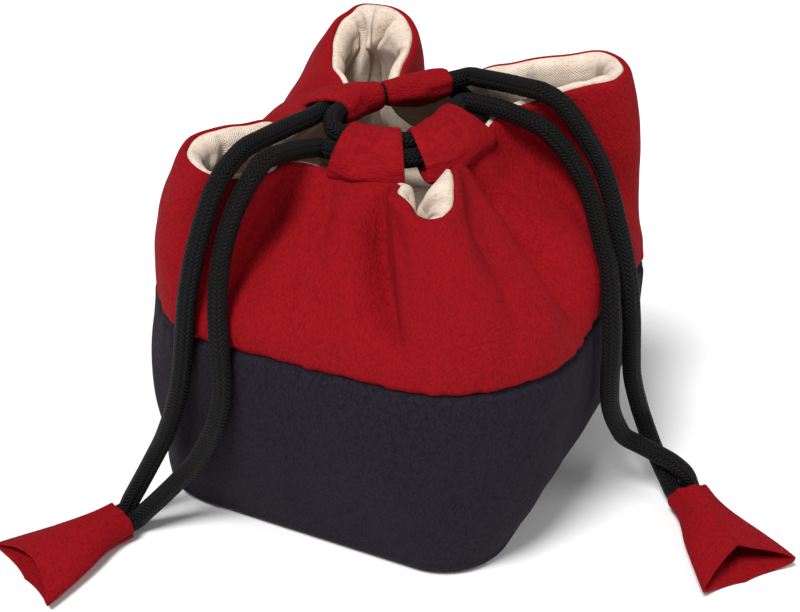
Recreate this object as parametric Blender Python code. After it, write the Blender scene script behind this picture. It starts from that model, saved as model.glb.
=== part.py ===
"""A padded drawstring pouch for a tea set, drawn shut, with two cords and four cloth loops.

The pouch stands on the origin: +Z is up, -Y is the front, +X is the right.
Its wall is one surface, outer(turn, height), and every layer of cloth or padding is that
surface moved inwards by the thickness of the layers outside it.
turn counts quarters round the pouch from the middle of the front loop, anticlockwise.
height runs from -1 at the foot of the lower band, through 0 at the seam, to 1 at the rim.
"""
import math

import bmesh
import bpy
import numpy as np
from mathutils import Vector
from mathutils.bvhtree import BVHTree

# Base and lower band: sides and corner radii of rounded squares, at three heights
BASE_SIDE = 0.1130
BASE_CORNER = 0.021
BASE_CENTRE = (-0.0038, -0.001)
FOOT_HEIGHT = 0.0045
BELLY_SIDE = 0.130
BELLY_CORNER = 0.036
BELLY_CENTRE = (-0.0011, -0.0001)
BELLY_HEIGHT = 0.032
SEAM_SIDE = 0.132
SEAM_CORNER = 0.042
SEAM_CENTRE = (0.0007, -0.0001)
SEAM_HEIGHT = 0.066

# Upper band: cloth from the seam to the rim
UPPER_HEIGHT = 0.060
RIM_HEIGHT = 0.105
LOBE_RISE = 0.020
TURN_IN = 0.004

# Layers of the wall, from outside to inside
CLOTH = 0.001
WADDING = 0.003
LINING = 0.001
LAYER_GAP = 0.0003
WALL = CLOTH + WADDING + LINING + 2 * LAYER_GAP

# Cords and the loops they run through
CORD = 0.0056
CORD_GAP = 0.0003
LOOP_CLOTH = 0.0010
SEAT_GAP = 0.0018
LEAD_LENGTH = 0.0032
STRAIGHT_END = 0.0030

# Cloth ends on the cords
TULIP_LENGTH = 0.0330
TULIP_MOUTH = 0.0330
TULIP_RISE = 0.0110
TULIP_TIPS = 0.0040
TULIP_CLOTH = 0.0012
KNOT_LENGTH = 0.0130

# Pleats below the loops
PLEAT_DEPTH = 0.0030

# Steps of the surfaces, as shares of a quarter turn and of the cloth's height
QUARTER_SHARES = (
    0.0, 0.045, 0.09, 0.14, 0.20, 0.27, 0.34, 0.42, 0.494, 0.506, 0.57, 0.64, 0.72, 0.80, 0.86, 0.93)
UPPER_SHARES = (0.0, 0.12, 0.25, 0.38, 0.51, 0.64, 0.76, 0.86, 0.93, 1.0)
LOWER_SHARES = (0.0, 0.20, 0.60, 1.0)
ROLL_STEPS = 5

# In quarter turns: where the rim's slopes are averaged.
# In shares of the cloth's height: the least step between two rows
SLOPE_SPREAD = (-0.06, -0.03, 0.0, 0.03, 0.06)
MERGE = 0.02

RED = (0.36, 0.012, 0.022, 1.0)
NAVY = (0.012, 0.012, 0.028, 1.0)
LINEN = (0.60, 0.52, 0.42, 1.0)
BLACK = (0.008, 0.008, 0.008, 1.0)
WHITE = (0.75, 0.74, 0.70, 1.0)

UP = np.array((0.0, 0.0, 1.0))


def curve_through(knots, points, places, period=None):
    """A smooth curve through points at rising knots, read at places.

    Each stretch is a cubic whose end slopes are the slopes across the neighbouring points.
    A closed curve gives its period.
    """
    knots = np.asarray(knots, float)
    points = np.asarray(points, float)
    if period:
        knots = np.concatenate((knots[-2:] - period, knots, knots[:2] + period))
        points = np.concatenate((points[-2:], points, points[:2]))
        places = np.mod(places - knots[2], period) + knots[2]
    steps = np.diff(knots)[:, None]
    slopes = np.diff(points, axis=0) / steps
    tangents = np.concatenate((slopes[:1], (slopes[:-1] * steps[1:] + slopes[1:] * steps[:-1])
                               / (steps[1:] + steps[:-1]), slopes[-1:]))
    k = np.clip(np.searchsorted(knots, places, side="right") - 1, 0, len(knots) - 2)
    step = (knots[k + 1] - knots[k])[..., None]
    t = (places[..., None] - knots[k][..., None]) / step
    return ((1 + 2 * t) * (1 - t) ** 2 * points[k] + t * (1 - t) ** 2 * step * tangents[k]
            + t * t * (3 - 2 * t) * points[k + 1] - t * t * (1 - t) * step * tangents[k + 1])


class Branch:
    """The path of both cords side by side through two loops, as a smooth curve.

    along points the way of a walk round the pouch, lean points up the slope of the cloth
    towards the middle, and face points out of the cloth. Places on the path are counted in
    route points.
    """

    def __init__(self, route, tilts):
        self.route = np.array(route)
        self.tilts = np.radians(np.array(tilts))[:, None]
        self.knots = np.arange(len(route), dtype=float)

    def frame(self, place):
        """The path's point, and its along, lean and face directions, at a place."""
        place = np.asarray(place, float)
        near = 0.01
        point = curve_through(self.knots, self.route, place)
        along = (curve_through(self.knots, self.route, place + near)
                 - curve_through(self.knots, self.route, place - near))
        along /= np.linalg.norm(along, axis=-1, keepdims=True)
        tilt = curve_through(self.knots, self.tilts, place)
        inward = np.cross(UP, along)
        inward /= np.linalg.norm(inward, axis=-1, keepdims=True)
        lean = inward * np.cos(tilt) + np.cross(along, inward) * np.sin(tilt)
        return point, along, lean, np.cross(along, lean)


class Loop:
    """A flattened cloth tube on a branch, sewn to the rim along part of its length."""

    def __init__(self, branch, start, end, sewn):
        self.branch = branch
        self.start = start
        self.end = end
        self.sewn = sewn

    def rim_point(self, place):
        """The rim's outer face under the loop, and the slope of the cloth there."""
        point, _, lean, face = self.branch.frame(place)
        below = LOOP_HALF_HEIGHT + SEAT_GAP + WALL / 2
        return point - lean * below + face * (WALL / 2), lean


class Lobe:
    """A petal of the rim between two loops, pushed out by the gathered cloth.

    Its outline is a list of shares: how far out along its direction, how far across of half
    its width, and how far up of the lobes' rise.
    """

    def __init__(self, direction, reach, width, lean, flares, outline_shares):
        direction = math.radians(direction)
        self.out = np.array((math.cos(direction), math.sin(direction), 0.0))
        self.across = np.array((-math.sin(direction), math.cos(direction), 0.0))
        self.reach = reach
        self.width = width
        self.lean = math.tan(math.radians(lean))
        self.flares = [math.tan(math.radians(flare)) for flare in flares]
        self.outline_shares = outline_shares

    def rim_points(self):
        """The rim's outer face, point by point along the lobe's outline."""
        return [self.out * (self.reach * out) + self.across * (self.width / 2 * across)
                + UP * (RIM_HEIGHT + LOBE_RISE * up) for out, across, up in self.outline_shares]

    def rim_slopes(self):
        """The cloth's slope at each of those points: leaning in, and in towards the fold."""
        slopes = [UP - self.out * self.lean
                  - self.across * (self.flares[across > 0] * max(-1, min(1, across)))
                  for _, across, _ in self.outline_shares]
        return [slope / np.linalg.norm(slope) for slope in slopes]


# Half height of a loop's tube, across both cords, and half its thickness
LOOP_HALF_HEIGHT = CORD + 1.5 * CORD_GAP + LOOP_CLOTH
LOOP_HALF_THICK = CORD / 2 + CORD_GAP + LOOP_CLOTH

# The cords' paths through the front and right loops, and through the back and left ones
FRONT_BRANCH = Branch((
    (-0.0140, -0.0128, 0.1083), (-0.0090, -0.0132, 0.1084), (-0.0038, -0.0132, 0.1085),
    (0.0025, -0.0123, 0.1088), (0.0080, -0.0095, 0.1091), (0.0113, -0.0043, 0.1094),
    (0.0125, 0.0025, 0.1098), (0.0129, 0.0095, 0.1103), (0.0130, 0.0160, 0.1111)),
    (32, 32, 32, 31, 29, 27, 25, 25, 25))
BACK_BRANCH = Branch((
    (0.0046, 0.0303, 0.1154), (0.0010, 0.0265, 0.1149), (-0.0028, 0.0224, 0.1143),
    (-0.0070, 0.0188, 0.1139), (-0.0120, 0.0155, 0.1133), (-0.0170, 0.0110, 0.1128),
    (-0.0202, 0.0058, 0.1126), (-0.0216, 0.0008, 0.1125), (-0.0222, -0.0040, 0.1125)),
    (30, 30, 30, 27, 22, 16, 12, 10, 10))

# Front, right, back and left loops: their stretch of a branch, and where the rim is sewn to it
LOOPS = (
    Loop(FRONT_BRANCH, 0.5, 3.4, (0.5, 1.5, 2.4)),
    Loop(FRONT_BRANCH, 4.7, 7.6, (5.1, 6.4, 7.6)),
    Loop(BACK_BRANCH, 0.8, 3.6, (0.9, 1.7, 2.5)),
    Loop(BACK_BRANCH, 4.6, 7.5, (5.6, 6.6, 7.5)),
)

# Front, right, back and left lobes
LOBES = (
    Lobe(-52, 0.048, 0.029, 42, (0, 4), (
        (0.59, -0.70, -0.03), (0.75, -0.77, -0.07), (0.89, -0.64, -0.10), (0.98, -0.26, -0.11),
        (0.98, 0.22, -0.09), (0.87, 0.64, -0.04), (0.62, 0.86, 0.06))),
    Lobe(36, 0.066, 0.027, 15, (15, 15), (
        (0.47, -0.01, 0.25), (0.63, -0.23, 0.50), (0.81, -0.43, 0.72), (0.96, -0.46, 0.82),
        (1.03, -0.16, 0.90), (1.05, 0.38, 0.96), (0.99, 0.88, 0.97), (0.84, 1.24, 0.90),
        (0.67, 1.53, 0.78), (0.53, 1.85, 0.62), (0.41, 2.20, 0.42))),
    Lobe(127, 0.065, 0.033, 20, (12, 44), (
        (0.52, -0.34, 0.38), (0.64, -0.72, 0.60), (0.78, -0.96, 0.78), (0.93, -0.79, 0.90),
        (1.03, -0.37, 0.97), (1.04, 0.17, 0.97), (0.95, 0.65, 0.85), (0.80, 0.91, 0.68),
        (0.63, 1.02, 0.50))),
    Lobe(228, 0.065, 0.030, 30, (15, 15), (
        (0.48, -1.43, 0.25), (0.57, -1.35, 0.30), (0.70, -1.16, 0.35), (0.82, -0.96, 0.38),
        (0.93, -0.74, 0.35), (1.00, -0.38, 0.30), (1.00, 0.11, 0.23), (0.95, 0.53, 0.15),
        (0.85, 0.76, 0.07), (0.73, 0.81, 0.04), (0.62, 0.65, 0.01), (0.52, 0.46, 0.00))),
)

# Pleats: quarter turn at the rim and at the seam, width in quarters, share of the full depth
PLEAT_SHARES = (
    (0.12, 0.22, 0.075, 1.0), (0.87, 0.74, 0.075, 0.9),
    (1.13, 1.26, 0.080, 0.8), (1.88, 1.76, 0.070, 0.5),
    (3.14, 3.26, 0.070, 0.5), (3.88, 3.72, 0.075, 1.0),
)


def rounded_square(turn, side, corner):
    """Points on a rounded square at turn quarters from the middle of its front side."""
    straight = side / 2 - corner
    arc = corner * math.pi / 2
    quarter = np.floor(turn)
    run = (turn - quarter) * (2 * straight + arc)
    angle = np.clip((run - straight) / corner, 0, math.pi / 2)
    x = np.minimum(run, straight) + corner * np.sin(angle)
    y = -side / 2 + corner * (1 - np.cos(angle)) + np.maximum(run - straight - arc, 0)
    spin = quarter * math.pi / 2
    return np.stack((x * np.cos(spin) - y * np.sin(spin), x * np.sin(spin) + y * np.cos(spin),
                     np.zeros_like(x)), -1)


def rim_table():
    """Turns, points and arriving slopes of the cloth along the whole rim."""
    turns, points, slopes = [], [], []
    for quarter in range(4):
        loop, lobe, after = LOOPS[quarter], LOBES[quarter], LOOPS[(quarter + 1) % 4]
        seats = [loop.rim_point(loop.sewn[1]), loop.rim_point(loop.sewn[2]),
                 *zip(lobe.rim_points(), lobe.rim_slopes()),
                 after.rim_point(after.sewn[0]), after.rim_point(after.sewn[1])]
        places = [seat[0] for seat in seats]
        leans = [seat[1] for seat in seats]
        runs = np.cumsum([0] + [np.linalg.norm(b - a) for a, b in zip(places, places[1:])])
        turns += list(quarter + runs[:-1] / runs[-1])
        points += places[:-1]
        slopes += leans[:-1]
    return np.array(turns), np.array(points), np.array(slopes)


RIM_TURNS, RIM_POINTS, RIM_SLOPES = rim_table()


def lower_outline(turn, height):
    """The lower band: rounded squares whose size is a parabola through three heights."""
    z = FOOT_HEIGHT + (height + 1) * (SEAM_HEIGHT - FOOT_HEIGHT)
    heights = (FOOT_HEIGHT, BELLY_HEIGHT, SEAM_HEIGHT)
    shares = []
    for k in range(3):
        others = [h for n, h in enumerate(heights) if n != k]
        shares.append((z - others[0]) * (z - others[1])
                      / ((heights[k] - others[0]) * (heights[k] - others[1])))
    side = shares[0] * BASE_SIDE + shares[1] * BELLY_SIDE + shares[2] * SEAM_SIDE
    corner = shares[0] * BASE_CORNER + shares[1] * BELLY_CORNER + shares[2] * SEAM_CORNER
    x = shares[0] * BASE_CENTRE[0] + shares[1] * BELLY_CENTRE[0] + shares[2] * SEAM_CENTRE[0]
    y = shares[0] * BASE_CENTRE[1] + shares[1] * BELLY_CENTRE[1] + shares[2] * SEAM_CENTRE[1]
    return rounded_square(turn, side, corner) + np.stack((x, y, z), -1)


def upper_outline(turn, height):
    """The upper band: each thread leaves the seam upright and arrives at the rim on its slope."""
    foot = lower_outline(turn, np.zeros_like(turn))
    rim = curve_through(RIM_TURNS, RIM_POINTS, turn, 4)
    slope = sum(curve_through(RIM_TURNS, RIM_SLOPES, turn + share, 4) for share in SLOPE_SPREAD)
    slope /= np.linalg.norm(slope, axis=-1, keepdims=True)
    t = height[..., None]
    return ((1 + 2 * t) * (1 - t) ** 2 * foot + t * (1 - t) ** 2 * UPPER_HEIGHT * UP
            + t * t * (3 - 2 * t) * rim - t * t * (1 - t) * UPPER_HEIGHT * slope)


def smooth_outline(turn, height):
    """The wall's outer surface without its pleats."""
    turn, height = np.broadcast_arrays(np.asarray(turn, float), np.asarray(height, float))
    below = lower_outline(turn, np.minimum(height, 0.0))
    above = upper_outline(turn, np.clip(height, 0.0, 1.0))
    return np.where((height < 0)[..., None], below, above)


def outward(surface, turn, height):
    """Unit normals of a surface, from its slopes along the turn and the height."""
    step = 0.004
    top = np.minimum(height + step, 1.0)
    along = surface(turn + step, height) - surface(turn - step, height)
    up = surface(turn, top) - surface(turn, top - 2 * step)
    normal = np.cross(along, up)
    return normal / np.linalg.norm(normal, axis=-1, keepdims=True)


def ease(value, start, end):
    """0 before start, 1 after end, and a smooth step between."""
    t = np.clip((value - start) / (end - start), 0, 1)
    return t * t * (3 - 2 * t)


def pleat_depth(turn, height):
    """How far the pleats draw the cloth in: valleys that run down and apart from the loops."""
    depth = np.zeros_like(turn)
    for at_rim, at_seam, width, share in PLEAT_SHARES:
        line = at_seam + (at_rim - at_seam) * ease(height, 0.0, 1.0)
        off = np.mod(turn - line + 2, 4) - 2
        depth += share * np.exp(-(off / width) ** 2)
    return PLEAT_DEPTH * depth * ease(height, 0.05, 0.6) * (1 - 0.8 * ease(height, 0.8, 1.0))


def outer(turn, height):
    """The wall's outer surface with its pleats."""
    turn, height = np.broadcast_arrays(np.asarray(turn, float), np.asarray(height, float))
    normal = outward(smooth_outline, turn, height)
    return smooth_outline(turn, height) - normal * pleat_depth(turn, height)[..., None]


def layer(turn, height, depth):
    """The wall's surface at a depth below its outer face."""
    turn, height = np.broadcast_arrays(np.asarray(turn, float), np.asarray(height, float))
    return outer(turn, height) - outward(outer, turn, height) * depth


def loft(name, rows, colour, closed_rows=False, closed_columns=True, roughness=0.9):
    """A closed solid from rows of points: skins the rows, and caps open ends with flat faces.

    Each square is split from its lower corner at one column to its upper corner at the next,
    so that layers with the same columns and rows keep their gaps.
    """
    mesh = bpy.data.meshes.new(name)
    bm = bmesh.new()
    grid = [[bm.verts.new(point) for point in row] for row in rows]
    count = len(grid[0])
    row_pairs = list(zip(grid, grid[1:])) + ([(grid[-1], grid[0])] if closed_rows else [])
    for low, high in row_pairs:
        rising = sum(vert.co.z for vert in high) >= sum(vert.co.z for vert in low)
        for k in range(count if closed_columns else count - 1):
            n = (k + 1) % count
            corners = (low[k], low[n], high[n], high[k])
            start = 0 if rising else 1
            bm.faces.new([corners[start], corners[start + 1], corners[start + 2]])
            bm.faces.new([corners[start], corners[start + 2], corners[start - 1]])
    if not closed_rows:
        bm.faces.new(reversed(grid[0]))
        bm.faces.new(grid[-1])
    if not closed_columns:
        for k in range(len(grid) // 2 - 1):
            ring = (grid[k], grid[k + 1], grid[-2 - k], grid[-1 - k])
            bm.faces.new([row[0] for row in ring])
            bm.faces.new([row[-1] for row in reversed(ring)])
    bmesh.ops.recalc_face_normals(bm, faces=bm.faces)
    bm.to_mesh(mesh)
    bm.free()
    return finish(name, mesh, colour, roughness)


def finish(name, data, colour, roughness):
    """An object with its own material, in the scene."""
    material = bpy.data.materials.new(name)
    material.use_nodes = True
    shader = material.node_tree.nodes["Principled BSDF"]
    shader.inputs["Base Color"].default_value = colour
    shader.inputs["Roughness"].default_value = roughness
    data.materials.append(material)
    obj = bpy.data.objects.new(name, data)
    bpy.context.scene.collection.objects.link(obj)
    if obj.type == "MESH":
        data.shade_smooth()
        data.set_sharp_from_angle(angle=math.radians(50))
    return obj


def turns_all_round():
    """Turn values of the wall's columns."""
    return np.array([quarter + share for quarter in range(4) for share in QUARTER_SHARES])


def heights_between(low, high):
    """Heights of the wall's rows from low to high, with both ends."""
    inner = [share - 1 for share in LOWER_SHARES] + list(UPPER_SHARES[1:])
    return [low] + [h for h in inner if low + MERGE < h < high - MERGE] + [high]


def height_at(z):
    """The height value of a level on the lower band."""
    return (z - FOOT_HEIGHT) / (SEAM_HEIGHT - FOOT_HEIGHT) - 1




def wall_layer(name, low, high, depth, thickness, colour, turns=None):
    """A layer of the wall from height low to high, all round or between two turns."""
    closed = turns is None
    turns = turns_all_round() if closed else turns
    heights = heights_between(low, high)
    rows = [layer(turns, h, depth) for h in heights]
    rows += [layer(turns, h, depth + thickness) for h in reversed(heights)]
    if closed:
        return loft(name, rows, colour, closed_rows=True)
    return loft(name, rows, colour, closed_rows=True, closed_columns=False)


def rim_roll(turns, radius):
    """Rows over the rim from the outer face to the inner one, round the middle of the wall."""
    top = outer(turns, 1.0)
    normal = outward(outer, turns, np.ones_like(turns))
    along = outer(turns + MERGE, 1.0) - outer(turns - MERGE, 1.0)
    along /= np.linalg.norm(along, axis=-1, keepdims=True)
    slope = np.cross(normal, along)
    angles = [math.pi * k / ROLL_STEPS for k in range(1, ROLL_STEPS)]
    return [top - normal * (WALL / 2 - radius * math.cos(a)) + slope * (radius * math.sin(a))
            for a in angles]


def upper_band():
    """The red band: up the outside, over the rim in a roll, and a turn-in down the inside."""
    turns = turns_all_round()
    low = LAYER_GAP / 2 / UPPER_HEIGHT
    inside_low = 1 - TURN_IN / UPPER_HEIGHT
    heights = heights_between(low, 1.0)
    inside = [h for h in heights if h > inside_low + MERGE]
    rows = [layer(turns, h, 0.0) for h in heights]
    rows += rim_roll(turns, WALL / 2)
    rows += [layer(turns, h, WALL) for h in reversed(inside)]
    rows += [layer(turns, inside_low, WALL), layer(turns, inside_low, WALL - LINING)]
    rows += [layer(turns, h, WALL - LINING) for h in inside]
    rows += reversed(rim_roll(turns, WALL / 2 - CLOTH))
    rows += [layer(turns, h, CLOTH) for h in reversed(heights)]
    return loft("upper_band", rows, RED, closed_rows=True)


def base_ring(side, z, inset=0.0):
    """One level ring of the base: a rounded square with the base's centre."""
    turns = turns_all_round()
    corner = max(BASE_CORNER - (BASE_SIDE - side) / 2, BASE_CORNER / 3)
    return (rounded_square(turns, side - 2 * inset, corner)
            + np.array((BASE_CENTRE[0], BASE_CENTRE[1], z)))


def base_panel():
    """The navy bottom: flat where it stands, turned up round its edge, open above."""
    steps = 3
    angles = [math.pi / 2 * k / steps for k in range(steps + 1)]
    flat = BASE_SIDE - 2 * FOOT_HEIGHT
    inner = FOOT_HEIGHT - CLOTH
    rows = [base_ring(flat + 2 * FOOT_HEIGHT * math.sin(a), FOOT_HEIGHT * (1 - math.cos(a)))
            for a in angles]
    rows += [base_ring(flat + 2 * inner * math.sin(a), FOOT_HEIGHT - inner * math.cos(a))
             for a in reversed(angles)]
    return loft("outer_base_panel", rows, NAVY)


def base_plate(name, low, thickness, side, colour):
    """A flat square of padding or lining on the bottom."""
    return loft(name, [base_ring(side, low), base_ring(side, low + thickness)], colour)


def stadium(half_height, half_thick, count):
    """A flattened ring of count points: two half circles joined by straight runs."""
    angles = [2 * math.pi * (k + 0.5) / count for k in range(count)]
    shift = half_height - half_thick
    return [(half_thick * math.cos(a) + math.copysign(shift, math.cos(a)), half_thick * math.sin(a))
            for a in angles]


def loop_tube(name, loop):
    """A loop's flattened tube, open at both ends, swept along its branch."""
    steps = 6
    places = [loop.start + (loop.end - loop.start) * k / steps for k in range(steps + 1)]
    frames = [loop.branch.frame(place) for place in places]

    def ring(frame, cloth):
        point, _, lean, face = frame
        return [point + lean * up + face * out
                for up, out in stadium(LOOP_HALF_HEIGHT - cloth, LOOP_HALF_THICK - cloth, 16)]

    rows = [ring(frame, 0.0) for frame in frames]
    rows += [ring(frame, LOOP_CLOTH) for frame in reversed(frames)]
    return loft(name, rows, RED, closed_rows=True)


def side_point(branch, place, side):
    """A point on one of the two cords in a branch: side -1 is the outer one, 1 the inner one."""
    point, _, lean, _ = branch.frame(place)
    return point + lean * (side * (CORD + CORD_GAP) / 2)


def smooth_run(points, spacing):
    """Points at an even spacing on a smooth curve through a route's points."""
    points = np.array(points)
    runs = np.concatenate(([0.0], np.cumsum(np.linalg.norm(np.diff(points, axis=0), axis=1))))
    count = max(2, round(runs[-1] / spacing) + 1)
    return curve_through(runs, points, np.linspace(0, runs[-1], count))


def cord(name, points):
    """A round cord through a list of points."""
    curve = bpy.data.curves.new(name, "CURVE")
    curve.dimensions = "3D"
    curve.bevel_depth = CORD / 2
    curve.bevel_resolution = 2
    curve.use_fill_caps = True
    spline = curve.splines.new("POLY")
    spline.points.add(len(points) - 1)
    for place, point in zip(spline.points, points):
        place.co = (*point, 1.0)
    return finish(name, curve, BLACK, 0.85)


def held_cords():
    """The two stretches of cord inside the loops and round the corners between them."""

    def inside(loops, branch, side):
        places = sorted({loop.start + (loop.end - loop.start) * k / 3
                         for loop in loops for k in range(4)})
        return [side_point(branch, place, side) for place in places]

    left = inside(LOOPS[:2], FRONT_BRANCH, -1)
    left += [np.array(point) for point in LEFT_CORNER]
    left += inside(LOOPS[2:], BACK_BRANCH, -1)
    right = inside(LOOPS[2:], BACK_BRANCH, 1)
    right += [np.array(point) for point in RIGHT_CORNER]
    right += inside(LOOPS[:2], FRONT_BRANCH, 1)
    cord("left_held_cord", left)
    cord("right_held_cord", right)
    return [np.array(left), np.array(right)]


def wall_tree():
    """The wall's two faces and the roll between them, for finding the nearest point on them."""
    turns = turns_all_round()
    heights = heights_between(-1.0, 1.0)
    rows = [layer(turns, h, 0.0) for h in heights]
    rows += rim_roll(turns, WALL / 2)
    rows += [layer(turns, h, WALL) for h in reversed(heights)]
    count = len(turns)
    faces = [(row * count + k, row * count + (k + 1) % count,
              (row + 1) * count + (k + 1) % count, (row + 1) * count + k)
             for row in range(len(rows) - 1) for k in range(count)]
    return BVHTree.FromPolygons([Vector(point) for row in rows for point in row], faces)


def push_from_wall(point, wall):
    """How far a cord's centre has to move to lie on the wall and above the ground."""
    place, normal, _, distance = wall.find_nearest(Vector(point))
    away = (Vector(point) - place).dot(normal)
    depth = CORD / 2 + CORD_GAP - math.copysign(distance, away)
    push = np.array(normal) * max(depth, 0.0)
    push[2] += max(CORD / 2 + CORD_GAP - point[2], 0.0)
    return push


def push_from_cord(point, other):
    """How far a cord's centre has to move to lie beside another cord."""
    starts, ways = other[:-1], np.diff(other, axis=0)
    shares = np.clip(((point - starts) * ways).sum(1) / (ways * ways).sum(1), 0, 1)
    offsets = point - (starts + ways * shares[:, None])
    distances = np.linalg.norm(offsets, axis=1)
    near = np.argmin(distances)
    return offsets[near] / distances[near] * max(CORD + CORD_GAP - distances[near], 0.0)


def laid(points, wall, others):
    """The points of a strand, moved until it lies on the wall and beside the other cords."""
    points = np.array(points)
    for _ in range(LAYING_STEPS):
        for share in (0.0, 0.5):
            for k in range(2, len(points) - 3):
                point = points[k] + (points[k + 1] - points[k]) * share
                push = push_from_wall(point, wall)
                push += sum(push_from_cord(point, other) for other in others)
                points[k] += push * (1 - share)
                points[k + 1] += push * share
    return points


def lead_ends(loop, start, side):
    """Where a cord leaves a loop's mouth, and where its short lead ends."""
    place = loop.start if start else loop.end
    along = loop.branch.frame(place)[1] * (-1 if start else 1)
    mouth = side_point(loop.branch, place, side)
    return mouth + along * CORD_GAP, mouth + along * LEAD_LENGTH


def hanging_cord(name, ends, route, tulip, side, wall, others):
    """A lead and the strand beyond it, down to the neck of a cloth end."""
    mouth, lead = ends
    cord(name.replace("strand", "lead"), [mouth, lead])
    way = (lead - mouth) / np.linalg.norm(lead - mouth)
    start = lead + way * CORD_GAP
    end = tulip.cord_end(side)
    middle = [start + way * STRAIGHT_END, *[np.array(point) for point in route],
              end - tulip.ahead * STRAIGHT_END]
    points = laid([start, *smooth_run(middle, STRAND_SPACING), end], wall, others)
    cord(name, points)
    return points


class Tulip:
    """A cloth end: a sleeve round two cords that opens into a wide mouth with two tips."""

    def __init__(self, neck, heading):
        self.neck = np.array((*neck, TULIP_HALF_THICK))
        heading = math.radians(heading)
        self.ahead = np.array((math.cos(heading), math.sin(heading), 0.0))
        self.across = np.array((-math.sin(heading), math.cos(heading), 0.0))

    def cord_end(self, side):
        """The end of one of the two strands, just before the neck."""
        return (self.neck + self.across * (side * (CORD + CORD_GAP) / 2) - self.ahead * CORD_GAP)

    def ring(self, share, cloth):
        """A cross section at a share of the length, cloth inside the outer face."""
        spread = ease(np.array(share), 0.12, 1.1)
        half = TULIP_HALF_WIDE + (TULIP_MOUTH / 2 - TULIP_HALF_WIDE) * spread - cloth
        rise = TULIP_HALF_THICK + (TULIP_RISE / 2 - TULIP_HALF_THICK) * spread
        points = []
        for up, out in stadium(1.0, TULIP_HALF_THICK / TULIP_HALF_WIDE, 16):
            height = out / (TULIP_HALF_THICK / TULIP_HALF_WIDE) * (rise - cloth)
            tip = TULIP_TIPS * share * abs(up) ** 3
            points.append(self.neck + self.across * (up * half) + UP * (rise - self.neck[2] + height)
                          + self.ahead * (TULIP_LENGTH * share + tip))
        return points

    def build(self, side):
        """The cloth and the bound cord ends inside it."""
        shares = (0.0, 0.15, 0.35, 0.55, 0.75, 0.9, 1.0)
        rows = [self.ring(share, 0.0) for share in shares]
        rows += [self.ring(share, TULIP_CLOTH) for share in reversed(shares)]
        loft(side + "_tulip", rows, RED, closed_rows=True)
        rows = []
        for run in (0.0, KNOT_LENGTH / 2, KNOT_LENGTH):
            section = stadium(CORD + CORD_GAP / 2, CORD / 2, 12)
            rows.append([self.neck + self.ahead * run + self.across * wide + UP * high
                         for wide, high in section])
        loft(side + "_end_knot", rows, BLACK)


# Half width and half thickness of a cloth end's sleeve, round both cords
TULIP_HALF_WIDE = CORD + 1.5 * CORD_GAP + TULIP_CLOTH
TULIP_HALF_THICK = CORD / 2 + CORD_GAP + TULIP_CLOTH
LEFT_TULIP = Tulip((-0.0546, -0.0783), 248)
RIGHT_TULIP = Tulip((0.0940, 0.0065), -46)

# Step along a strand, and how often its points are moved off the wall
STRAND_SPACING = 0.0084
LAYING_STEPS = 30

# The left cord round the corner from the right loop to the back one
LEFT_CORNER = (
    (0.0163, 0.0180, 0.1086), (0.0161, 0.0225, 0.1082), (0.0140, 0.0266, 0.1086),
    (0.0106, 0.0292, 0.1096), (0.0066, 0.0307, 0.1112), (0.0030, 0.0308, 0.1127))

# The right cord round the corner from the left loop to the front one
RIGHT_CORNER = (
    (-0.0196, -0.0055, 0.1127), (-0.0198, -0.0087, 0.1120), (-0.0181, -0.0109, 0.1112),
    (-0.0150, -0.0110, 0.1104))

# Routes of the four hanging strands, over the lobes, down the wall and along the ground
LEFT_BACK_ROUTE = (
    (-0.0263, -0.0140, 0.1130), (-0.0278, -0.0260, 0.1142), (-0.0292, -0.0387, 0.1136),
    (-0.0296, -0.0510, 0.1098), (-0.0319, -0.0584, 0.0972), (-0.0330, -0.0650, 0.0815),
    (-0.0336, -0.0684, 0.0655), (-0.0350, -0.0691, 0.0550), (-0.0378, -0.0690, 0.0450),
    (-0.0438, -0.0675, 0.0310), (-0.0495, -0.0662, 0.0205), (-0.0535, -0.0665, 0.0120),
    (-0.0560, -0.0695, 0.0066))
LEFT_FRONT_ROUTE = (
    (-0.0205, -0.0160, 0.1073), (-0.0228, -0.0190, 0.1084), (-0.0229, -0.0245, 0.1106),
    (-0.0214, -0.0330, 0.1131), (-0.0210, -0.0425, 0.1128), (-0.0219, -0.0473, 0.1098),
    (-0.0236, -0.0507, 0.1050), (-0.0259, -0.0574, 0.0916), (-0.0238, -0.0650, 0.0783),
    (-0.0214, -0.0690, 0.0660), (-0.0212, -0.0699, 0.0540), (-0.0243, -0.0699, 0.0420),
    (-0.0300, -0.0690, 0.0310), (-0.0365, -0.0686, 0.0205), (-0.0423, -0.0690, 0.0125),
    (-0.0468, -0.0708, 0.0072), (-0.0495, -0.0735, 0.0050))
RIGHT_BACK_ROUTE = (
    (0.0085, 0.0285, 0.1178), (0.0130, 0.0300, 0.1186), (0.0190, 0.0280, 0.1192),
    (0.0250, 0.0250, 0.1196), (0.0320, 0.0218, 0.1205), (0.0396, 0.0212, 0.1185),
    (0.0455, 0.0218, 0.1128), (0.0495, 0.0228, 0.1065), (0.0535, 0.0240, 0.0990),
    (0.0620, 0.0165, 0.0858), (0.0700, 0.0068, 0.0705), (0.0714, 0.0066, 0.0605),
    (0.0716, 0.0085, 0.0505), (0.0716, 0.0115, 0.0400), (0.0726, 0.0155, 0.0295),
    (0.0752, 0.0177, 0.0190), (0.0785, 0.0165, 0.0105), (0.0820, 0.0132, 0.0056),
    (0.0860, 0.0095, 0.0045))
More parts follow.
